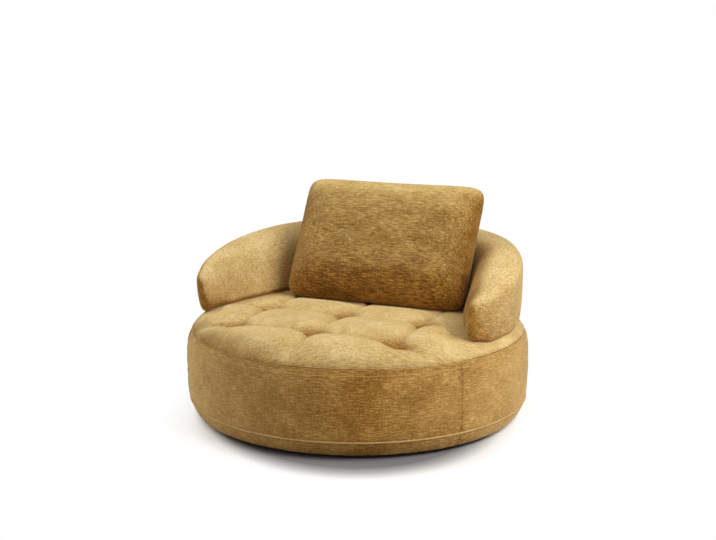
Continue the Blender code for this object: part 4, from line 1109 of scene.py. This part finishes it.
# %% [markdown]
# The back's cover is a ring of sections. A small circle is spun round the axis from one arm tip to the
# other, and every point is then moved to its place on the back: how far round the chair it is says
# which section it belongs to, and its place on the small circle says where on the section. At the tips
# the sections shrink to a point, and the cloth is gathered there. Smoothing then rounds the tips, as
# stuffing does. What would lie under the seat is lifted onto it, so the back's foot is flat only where
# it rests.

# %% Back and arms
BACK_COLUMNS = 260
BACK_POINTS = 72
TIP_COLUMNS_SHARE = 0.17
GUIDE_RADIUS = 0.5
GUIDE_SECTION = 0.1
GATHER_DEPTH = 0.0022
GATHERS = 5.0
GATHER_LENGTH = 0.08
GATHER_FADE = (1.06, 0.5)
STEADY_TIP = 0.3
UNDULATIONS_ROUND = 1.5
WRINKLED_TO_FOOT = 0.8
SQUARE_FROM = 1.8
TIP_ROUNDED_ANGLE = 9.0
TIP_SMOOTHINGS = 45


def back_station(share):
    """Angle from the front and fullness at a share of the way from one tip to the middle of the back."""
    rounding = math.degrees(TIP_ROUNDING / BACK_OUTER)
    if share < TIP_COLUMNS_SHARE:
        turned = math.pi / 2 * share / TIP_COLUMNS_SHARE
        return TIP_START + rounding * (1 - math.cos(turned)), math.sin(turned) ** TIP_SHARPNESS
    rest = (share - TIP_COLUMNS_SHARE) / (1 - TIP_COLUMNS_SHARE)
    first = TIP_START + rounding
    return first + (180.0 - first) * rest, 1.0


def section_squareness(share):
    """How square the back's section is at a share of the way from a tip: round at the tip."""
    grown = smooth(share / TIP_COLUMNS_SHARE / SQUARE_FROM)
    return TIP_SQUARENESS + (BACK_SQUARENESS - TIP_SQUARENESS) * grown


def round_tips(bm):
    """Closes the arms' tips and rounds them, where the inner face runs into the end, and keeps them over
    the seat."""
    bmesh.ops.remove_doubles(bm, verts=bm.verts, dist=WELD)
    open_ends = [edge for edge in bm.edges if edge.is_boundary]
    if open_ends:
        bmesh.ops.holes_fill(bm, edges=open_ends, sides=0)
    limit = TIP_START + TIP_ROUNDED_ANGLE
    tips = [vert for vert in bm.verts if abs(chair_angle(vert.co.x, vert.co.y)) < limit]
    axes = {f"use_axis_{axis}": True for axis in "xyz"}
    for _ in range(TIP_SMOOTHINGS):
        bmesh.ops.smooth_vert(bm, verts=tips, factor=0.5, **axes)
    for vert in tips:
        vert.co.z = max(vert.co.z, shoulder_height(vert.co.to_2d().length) + SOFT_GAP)


def wrinkle(arc, turned, full):
    """How far the back's cloth stands out at a place round the chair and round its section. full is 0 at
    an arm's tip, where it stays as it is."""
    round_section = Vector((math.cos(turned), math.sin(turned)))
    ring = round_section * UNDULATIONS_ROUND
    soft = noise.noise(Vector((arc / UNDULATION_SIZE, ring.x, ring.y)))
    ring = round_section * GATHERS
    gathers = noise.noise(Vector((ring.x, ring.y, arc / GATHER_LENGTH)))
    gathers *= GATHER_DEPTH * smooth((GATHER_FADE[0] - full) / GATHER_FADE[1])
    return (UNDULATION * soft + gathers) * smooth(full / STEADY_TIP)


def make_back():
    """The cover of the crescent back and its arms, resting on the seat."""
    bm, weave = new_cloth()
    turn = Matrix.Rotation(math.radians(TIP_START - 90.0), 4, "Z")
    upright = turn @ Matrix.Translation((GUIDE_RADIUS, 0, 0)) @ Matrix.Rotation(math.pi / 2, 4, "X")
    bmesh.ops.create_circle(bm, segments=BACK_POINTS, radius=GUIDE_SECTION, matrix=upright)
    span = 360.0 - 2 * TIP_START
    spin_all(bm, math.radians(span), BACK_COLUMNS)
    for vert in bm.verts:
        # As on the side panels, rounding can put the first column a whole turn on.
        share = ((chair_angle(vert.co.x, vert.co.y) - TIP_START) % 360.0) / span
        share = min(share, 1.0) if share < 1.2 else 0.0
        turned = math.atan2(vert.co.z, vert.co.to_2d().length - GUIDE_RADIUS) % math.tau
        station = 2 * min(share, 1 - share)
        angle, full = back_station(station)
        radius, height = back_point(angle, turned, full, section_squareness(station))
        angle = angle if share < 0.5 else 360.0 - angle
        arc = math.radians(angle) * BACK_OUTER
        if turned < math.pi * (1.0 + FOOT_FROM * WRINKLED_TO_FOOT):
            swell = wrinkle(arc, turned, full)
            radius += swell * math.cos(turned)
            height += swell * math.sin(turned)
        place = on_circle(angle, radius, height)
        place.z = max(place.z, shoulder_height(place.to_2d().length) + SOFT_GAP)
        vert.co = place
        vert[weave] = (arc, radius, height)
    round_tips(bm)
    return finish_piece("back_and_arms", bm, ARM_CHENILLE, "seat", "chenille", ("back_cover",))


back_and_arms = make_back()
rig.padded(back_and_arms, fill=0.9)

# %% [markdown]
# The pillow is two panels of cloth sewn together round the edge and stuffed. Stuffing makes each panel
# crown, and the cloth that the crown takes up is missing at the sides, so they pull in between the
# corners, and the upper edge sags a little. Two grids make the panels, each point is moved to the
# pillow's curve, and the panels are welded along their shared edge. The thread draws the seam tight,
# which leaves small puckers along it. A shallow channel low on the back takes the zip.

# %% Pillow
PILLOW_WIDTH = 0.746
PILLOW_HEIGHT = 0.503
PILLOW_THICKNESS = 0.200
PILLOW_LEAN = 29.0
PILLOW_X = 0.032
PILLOW_Y = 0.059
PILLOW_PULL_IN = 0.015
PILLOW_SAG = 0.030
PILLOW_CORNER_POWER = 11.0
PILLOW_SQUARENESS = 4.0
PILLOW_COLUMNS = 180
PILLOW_ROWS = 116
PILLOW_LUMP_DEPTH = 0.0022
PILLOW_LUMP_SIZES = (0.09, 0.04)
PILLOW_PUCKER_PITCH = 0.013
PILLOW_PUCKER_LENGTH = 0.05
PILLOW_PUCKER_DEPTH = 0.00924
PILLOW_PUCKER_REACH = 0.022
ZIP_LENGTH = 0.450
ZIP_WIDTH = 0.012
ZIP_RISE = 0.075
ZIP_CHANNEL_END = 0.006
ZIP_CHANNEL_SHARE = 0.6
ZIP_CHANNEL = 0.0028
PILLOW_PLACE = Matrix.Translation((PILLOW_X, PILLOW_Y, PILLOW_LOW.z)) @ Matrix.Rotation(
    -math.radians(PILLOW_LEAN), 4, "X"
)


def pillow_swell(across, up):
    """Share of the pillow's half thickness at a point from -1 to 1 across and up."""
    power = PILLOW_SQUARENESS
    return math.sqrt(max(0.0, (1.0 - abs(across) ** power) * (1.0 - abs(up) ** power)))


def pillow_point(across, up, side, inset):
    """A point of the pillow in its own frame, with its lower seam at height 0. side is -1 in front."""
    corner = (1.0 + abs(across * up) ** PILLOW_CORNER_POWER) ** (-1.0 / PILLOW_CORNER_POWER)
    pull = PILLOW_SAG if up > 0 else PILLOW_PULL_IN
    width = (PILLOW_WIDTH / 2 - inset) * corner * (1.0 - PILLOW_PULL_IN * (1.0 - up * up))
    height = (PILLOW_HEIGHT / 2 - inset) * corner * (1.0 - pull * (1.0 - across * across))
    depth = side * (PILLOW_THICKNESS / 2 - inset) * pillow_swell(across, up)
    return Vector((across * width, depth, PILLOW_HEIGHT / 2 + up * height))


def zip_channel(x, z):
    """1 in the middle of the zip's channel, and 0 outside it."""
    beside = smooth((ZIP_LENGTH / 2 + ZIP_CHANNEL_END - abs(x)) / ZIP_CHANNEL_END)
    return beside * math.exp(-(((z - ZIP_RISE) / (ZIP_WIDTH * ZIP_CHANNEL_SHARE)) ** 4))


def pillow_body(inset, columns, rows, wrinkled):
    """A bmesh of the pillow at an inset from its surface, in its place on the seat."""
    bm, weave = new_cloth()
    bmesh.ops.create_grid(bm, x_segments=columns, y_segments=rows, size=1.0)
    front = set(bm.verts)
    copied = bmesh.ops.duplicate(bm, geom=bm.verts[:] + bm.edges[:] + bm.faces[:])["geom"]
    bmesh.ops.reverse_faces(bm, faces=[item for item in copied if isinstance(item, bmesh.types.BMFace)])
    for vert in bm.verts:
        across = math.sin(math.pi / 2 * vert.co.x)
        up = math.sin(math.pi / 2 * vert.co.y)
        side = -1.0 if vert in front else 1.0
        point = pillow_point(across, up, side, inset)
        vert[weave] = point.copy()
        if wrinkled:
            to_side = PILLOW_WIDTH / 2 * (1 - abs(across))
            to_end = PILLOW_HEIGHT / 2 * (1 - abs(up))
            along = point.z if to_side < to_end else point.x + 2.0
            to_seam = min(to_side, to_end)
            fold = noise.noise(Vector((along / PILLOW_PUCKER_PITCH, to_seam / PILLOW_PUCKER_LENGTH, side)))
            puckers = PILLOW_PUCKER_DEPTH * fold * math.exp(-to_seam / PILLOW_PUCKER_REACH)
            large, small = (noise.noise(point / size) for size in PILLOW_LUMP_SIZES)
            lumps = PILLOW_LUMP_DEPTH * (large + 0.5 * small)
            depth = (puckers + lumps) * pillow_swell(across, up)
            point.y += side * (depth - 0.5 * PILLOW_LUMP_DEPTH)
        if side > 0 and inset == 0.0:
            point.y -= ZIP_CHANNEL * zip_channel(point.x, point.z)
        place = PILLOW_PLACE @ point
        place.z = max(place.z, PILLOW_LOW.z + inset)
        vert.co = place
    return bm


def make_pillow():
    """The loose back pillow."""
    bm = pillow_body(0.0, PILLOW_COLUMNS, PILLOW_ROWS, True)
    return finish_piece("back_pillow", bm, PILLOW_CHENILLE, "pillow", "chenille", ("pillow_cover",))


back_pillow = make_pillow()
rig.padded(back_pillow, fill=0.85)

# %% [markdown]
# What fills the covers is hidden while they are closed, but it is there. The foams of the seat and the
# back are cut to take the ties and the plywood wall, so they start as copies of the frame's bodies. In
# the back's foam and the pillow's filling, any point that would come too near to the cover is moved in
# under it. The drum's foam is a strip spun round the axis, and the pillow's filling is the pillow's own
# shape, a little smaller and plainer.

# %% Padding under the covers
PADDING_DEPTH = 0.0045
FOAM_EDGE = 0.0020
SIDE_FOAM_LOW, SIDE_FOAM_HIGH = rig.box("side_foam")
SIDE_FOAM_INNER = 0.6036
SIDE_FOAM_ROWS = 24


def surface_of(*pieces):
    """A tree of the pieces' surfaces, which can be asked for the point nearest to another."""
    bm = bmesh.new()
    for piece in pieces:
        bm.from_mesh(piece.data)
    tree = BVHTree.FromBMesh(bm)
    bm.free()
    return tree


def copied_body(node_name):
    """A bmesh copied from one of the frame's bodies."""
    bm, _ = new_cloth()
    bm.from_mesh(frame["nodes"][node_name].data)
    bm.transform(frame["nodes"][node_name].matrix_world)
    bmesh.ops.remove_doubles(bm, verts=bm.verts, dist=WELD)
    return bm


def tuck_under(bm, cover, depth):
    """Moves every point that is not at least a depth under a cover to that depth."""
    moved = 0
    for vert in bm.verts:
        nearest, normal, _, _ = cover.find_nearest(vert.co)
        if (vert.co - nearest).dot(normal) > -depth:
            vert.co = nearest - normal * depth
            moved += 1
    return moved


def bevel_edges(bm, edges, width):
    """Rounds edges by a bevel of that width."""
    bmesh.ops.bevel(bm, geom=edges, affect="EDGES", offset=width, segments=3, profile=0.5, material=-1)


def make_side_padding():
    """The foam between the hoop and the side's cover."""
    bm, _ = new_cloth()
    low, high = SIDE_FOAM_LOW.z, SIDE_FOAM_HIGH.z
    inset = drum_radius(WIDEST_HEIGHT) - SIDE_FOAM_HIGH.x
    points = []
    for row in range(SIDE_FOAM_ROWS + 1):
        height = low + (high - low) * crowd(row / SIDE_FOAM_ROWS)
        edge = min(height - low, high - height)
        points.append((drum_radius(height) - inset - FOAM_EDGE * math.exp(-edge / FOAM_EDGE), height))
    points += [(SIDE_FOAM_INNER, high), (SIDE_FOAM_INNER, low)]
    ring = [bm.verts.new((radius, 0.0, height)) for radius, height in points]
    for first, second in zip(ring, ring[1:] + ring[:1]):
        bm.edges.new((first, second))
    spin_all(bm, math.tau, PIPING_STEPS, use_merge=True)
    return finish_piece("side_padding", bm, FINISHES["foam_cream"], "seat", "foam", ("side_foam",))


def make_seat_padding():
    """The foam disc on the deck, with its edges cut round."""
    bm = copied_body("seat_foam")
    outside = {vert for vert in bm.verts if vert.co.to_2d().length > FOAM_HIGH.x - FOAM_EDGE}
    rim = [edge for edge in bm.edges if outside.issuperset(edge.verts)]
    rim = [edge for edge in rim if abs(edge.verts[0].co.z - edge.verts[1].co.z) < WELD]
    bevel_edges(bm, rim, FOAM_EDGE)
    return finish_piece("seat_padding", bm, FINISHES["foam_cream"], "seat", "foam", ("seat_foam",))


def make_back_padding():
    """The foam round the plywood wall, from the frame's body."""
    bm = copied_body("back_foam")
    print(tuck_under(bm, surface_of(back_and_arms), PADDING_DEPTH), "points moved in")
    return finish_piece("back_padding", bm, FINISHES["foam_cream"], "seat", "foam", ("back_foam",))


def make_pillow_filling():
    """The pillow's fibre filling."""
    bm = pillow_body(PADDING_DEPTH, PILLOW_COLUMNS // 2, PILLOW_ROWS // 2, False)
    bmesh.ops.remove_doubles(bm, verts=bm.verts, dist=WELD)
    print(tuck_under(bm, surface_of(back_pillow), PADDING_DEPTH), "points moved in")
    fibre = FINISHES["fibre_white_carded"]
    return finish_piece("pillow_fibre", bm, fibre, "pillow", "fibre", ("pillow_filling",))


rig.padded(make_side_padding(), fill=1.0)
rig.padded(make_seat_padding(), fill=1.0)
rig.padded(make_back_padding(), fill=1.0)
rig.padded(make_pillow_filling(), fill=0.8)

# %% [markdown]
# The pillow's zip lies in its channel, low on the back. It has a woven tape, a nylon coil, and a
# slider with a tab. Each is laid on the cover: a ray shot at the pillow from behind gives the point and
# the way that the cover faces there. The coil is a half round cord with a ridge every 1.5 mm.

# %% Zip
TAPE_COLUMNS = 150
TAPE_THICKNESS = 0.0006
COIL_PITCH = 0.0015
COIL_RADIUS = 0.0017
COIL_LENGTH = 0.440
SLIDER_SIZE = (0.0100, 0.0065, 0.0026)
TAB_SIZE = (0.0180, 0.0045, 0.0008)
SLIDER_X = -0.205
TAB_ALONG = 0.008
SLIDER_ROUNDING, TAB_ROUNDING = 0.0008, 0.0003
ZIP_LIFT = 0.0004
COIL_FLATNESS = 0.6
COIL_VALLEY = 0.7
PILLOW_SURFACE = surface_of(back_pillow)


def on_pillow_back(x, z, lift):
    """A point over the back of the pillow's cover, at a place in the pillow's frame, and the normal."""
    origin = PILLOW_PLACE @ Vector((x, PILLOW_THICKNESS, z))
    place, normal, _, _ = PILLOW_SURFACE.ray_cast(origin, PILLOW_PLACE.to_3x3() @ Vector((0, -1, 0)))
    return place + normal * lift, normal


def finish_zip(name, bm, finish_name):
    """Makes a bmesh a piece of the pillow's zip."""
    return finish_piece(name, bm, FINISHES[finish_name], "pillow", "zip", ("pillow_zip",), False)


def make_zip_tape():
    """The strip of tape, which follows the cover."""
    bm, _ = new_cloth()
    bmesh.ops.create_grid(bm, x_segments=TAPE_COLUMNS, y_segments=4, size=1.0)
    for vert in bm.verts:
        x, z = vert.co.x * ZIP_LENGTH / 2, ZIP_RISE + vert.co.y * ZIP_WIDTH / 2
        vert.co = on_pillow_back(x, z, ZIP_LIFT + TAPE_THICKNESS)[0]
    piece = finish_zip("pillow_zip_tape", bm, "zip_tape_woven")
    wall = piece.modifiers.new("tape", "SOLIDIFY")
    wall.thickness = TAPE_THICKNESS
    wall.offset = 0.0


def make_zip_coil():
    """The coil down the middle of the tape, one ridge for every turn of it."""
    bm, _ = new_cloth()
    ridges = round(COIL_LENGTH / COIL_PITCH)
    bmesh.ops.create_grid(bm, x_segments=ridges * 3, y_segments=6, size=1.0)
    for vert in bm.verts:
        column = round((vert.co.x + 1) / 2 * ridges * 3)
        radius = COIL_RADIUS * (1.0 if column % 3 else COIL_VALLEY)
        turned = math.pi / 2 * vert.co.y
        z = ZIP_RISE + radius * math.sin(turned)
        lift = ZIP_LIFT + TAPE_THICKNESS + radius * COIL_FLATNESS * math.cos(turned)
        vert.co = on_pillow_back(vert.co.x * COIL_LENGTH / 2, z, lift)[0]
    finish_zip("pillow_zip_coil", bm, "zip_coil_nylon")


def rounded_block(bm, place, size, rounding):
    """Adds a block with rounded edges."""
    corners = bmesh.ops.create_cube(bm, size=1.0, matrix=place @ Matrix.Diagonal((*size, 1.0)))["verts"]
    edges = list({edge for vert in corners for edge in vert.link_edges})
    bevel_edges(bm, edges, rounding)


def make_zip_slider():
    """The slider and its tab, closed at the left end of the coil."""
    bm, _ = new_cloth()
    place, normal = on_pillow_back(SLIDER_X, ZIP_RISE, ZIP_LIFT + TAPE_THICKNESS + SLIDER_SIZE[2] / 2)
    along = PILLOW_PLACE.to_3x3() @ Vector((1, 0, 0))
    along = (along - normal * along.dot(normal)).normalized()
    turned = Matrix((along, normal.cross(along), normal)).transposed().to_4x4()
    rounded_block(bm, Matrix.Translation(place) @ turned, SLIDER_SIZE, SLIDER_ROUNDING)
    over = place + normal * (SLIDER_SIZE[2] / 2 + TAPE_THICKNESS) + along * TAB_ALONG
    rounded_block(bm, Matrix.Translation(over) @ turned, TAB_SIZE, TAB_ROUNDING)
    finish_zip("pillow_zip_slider", bm, "zinc_plated_steel")


make_zip_tape()
make_zip_coil()
make_zip_slider()

# %% [markdown]
# The seams are topstitched with a thick pale thread. One row of stitches runs just over the top seam
# and another 18 mm under it, and one row runs beside each upright seam. One stitch is a small
# stretched ball, which is copied round the drum, and every copy is then pressed onto the cloth.

# %% Topstitching
STITCH_PITCH = 0.0055
STITCH_LENGTH = 0.0043
THREAD_RADIUS = 0.00075
SEAM_ROW_RISE = 0.0045
UPRIGHT_ROW_ASIDE = 0.0060
UPRIGHT_ROW_MARGIN = 0.006
DRUM_SURFACE = surface_of(seat_cushion, *side_panels)


def stitch(bm, angle, height, along):
    """Adds one stitch at the drum's radius, laid along a direction."""
    place = Matrix.Translation(on_circle(angle, DRUM_RADIUS, height)) @ along
    size = Matrix.Diagonal((STITCH_LENGTH / 2, THREAD_RADIUS, THREAD_RADIUS, 1.0))
    return bmesh.ops.create_icosphere(bm, subdivisions=1, radius=1.0, matrix=place @ size)["verts"]


def press_on_drum(bm):
    """Moves the stitches to the surface of the drum."""
    for vert in bm.verts:
        outside = vert.co.to_2d().normalized().to_3d()
        origin = outside + Vector((0, 0, vert.co.z))
        hit = DRUM_SURFACE.ray_cast(origin, -outside)[0]
        if hit:
            over = vert.co.to_2d().length - DRUM_RADIUS
            vert.co = hit + outside * over


def make_stitches():
    """All the rows of topstitching."""
    bm, _ = new_cloth()
    around = Matrix.Identity(4)
    count = round(math.tau * DRUM_RADIUS / STITCH_PITCH)
    total = 0
    for height in (TOP_SEAM + SEAM_ROW_RISE, TOP_SEAM - TOPSTITCH_DROP):
        first = stitch(bm, 0.0, height, around)
        turn = math.tau * (count - 1) / count
        geom = first + list({edge for vert in first for edge in vert.link_edges})
        geom += list({face for vert in first for face in vert.link_faces})
        bmesh.ops.spin(bm, geom=geom, axis=(0, 0, 1), angle=turn, steps=count - 1, use_duplicate=True)
        total += count
    aside = math.degrees(UPRIGHT_ROW_ASIDE / DRUM_RADIUS)
    low, high = PIPING_HIGH.z + UPRIGHT_ROW_MARGIN, TOP_SEAM - TOPSTITCH_DROP - UPRIGHT_ROW_MARGIN
    for seam in PANEL_SEAMS:
        for step in range(int((high - low) / STITCH_PITCH)):
            stitch(bm, seam - aside, low + step * STITCH_PITCH, Matrix.Rotation(math.pi / 2, 4, "Y"))
            total += 1
    press_on_drum(bm)
    print(total, "stitches")
    return finish_piece("topstitching", bm, FINISHES["sewing_thread"], "seat", "chenille")


make_stitches()

# %% [markdown]
# Last, the two boxes are written down: the frame's own box, and the box of the finished chair, which
# has to stay close to it.

# %% Sizes and finish
SIZE_FILE = "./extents.json"
with open(SIZE_FILE, "w") as size_file:
    boxes = {"cad": CAD_BOX, "visual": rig.bounds()}
    json.dump({name: [list(corner) for corner in box] for name, box in boxes.items()}, size_file)
print(open(SIZE_FILE).read())
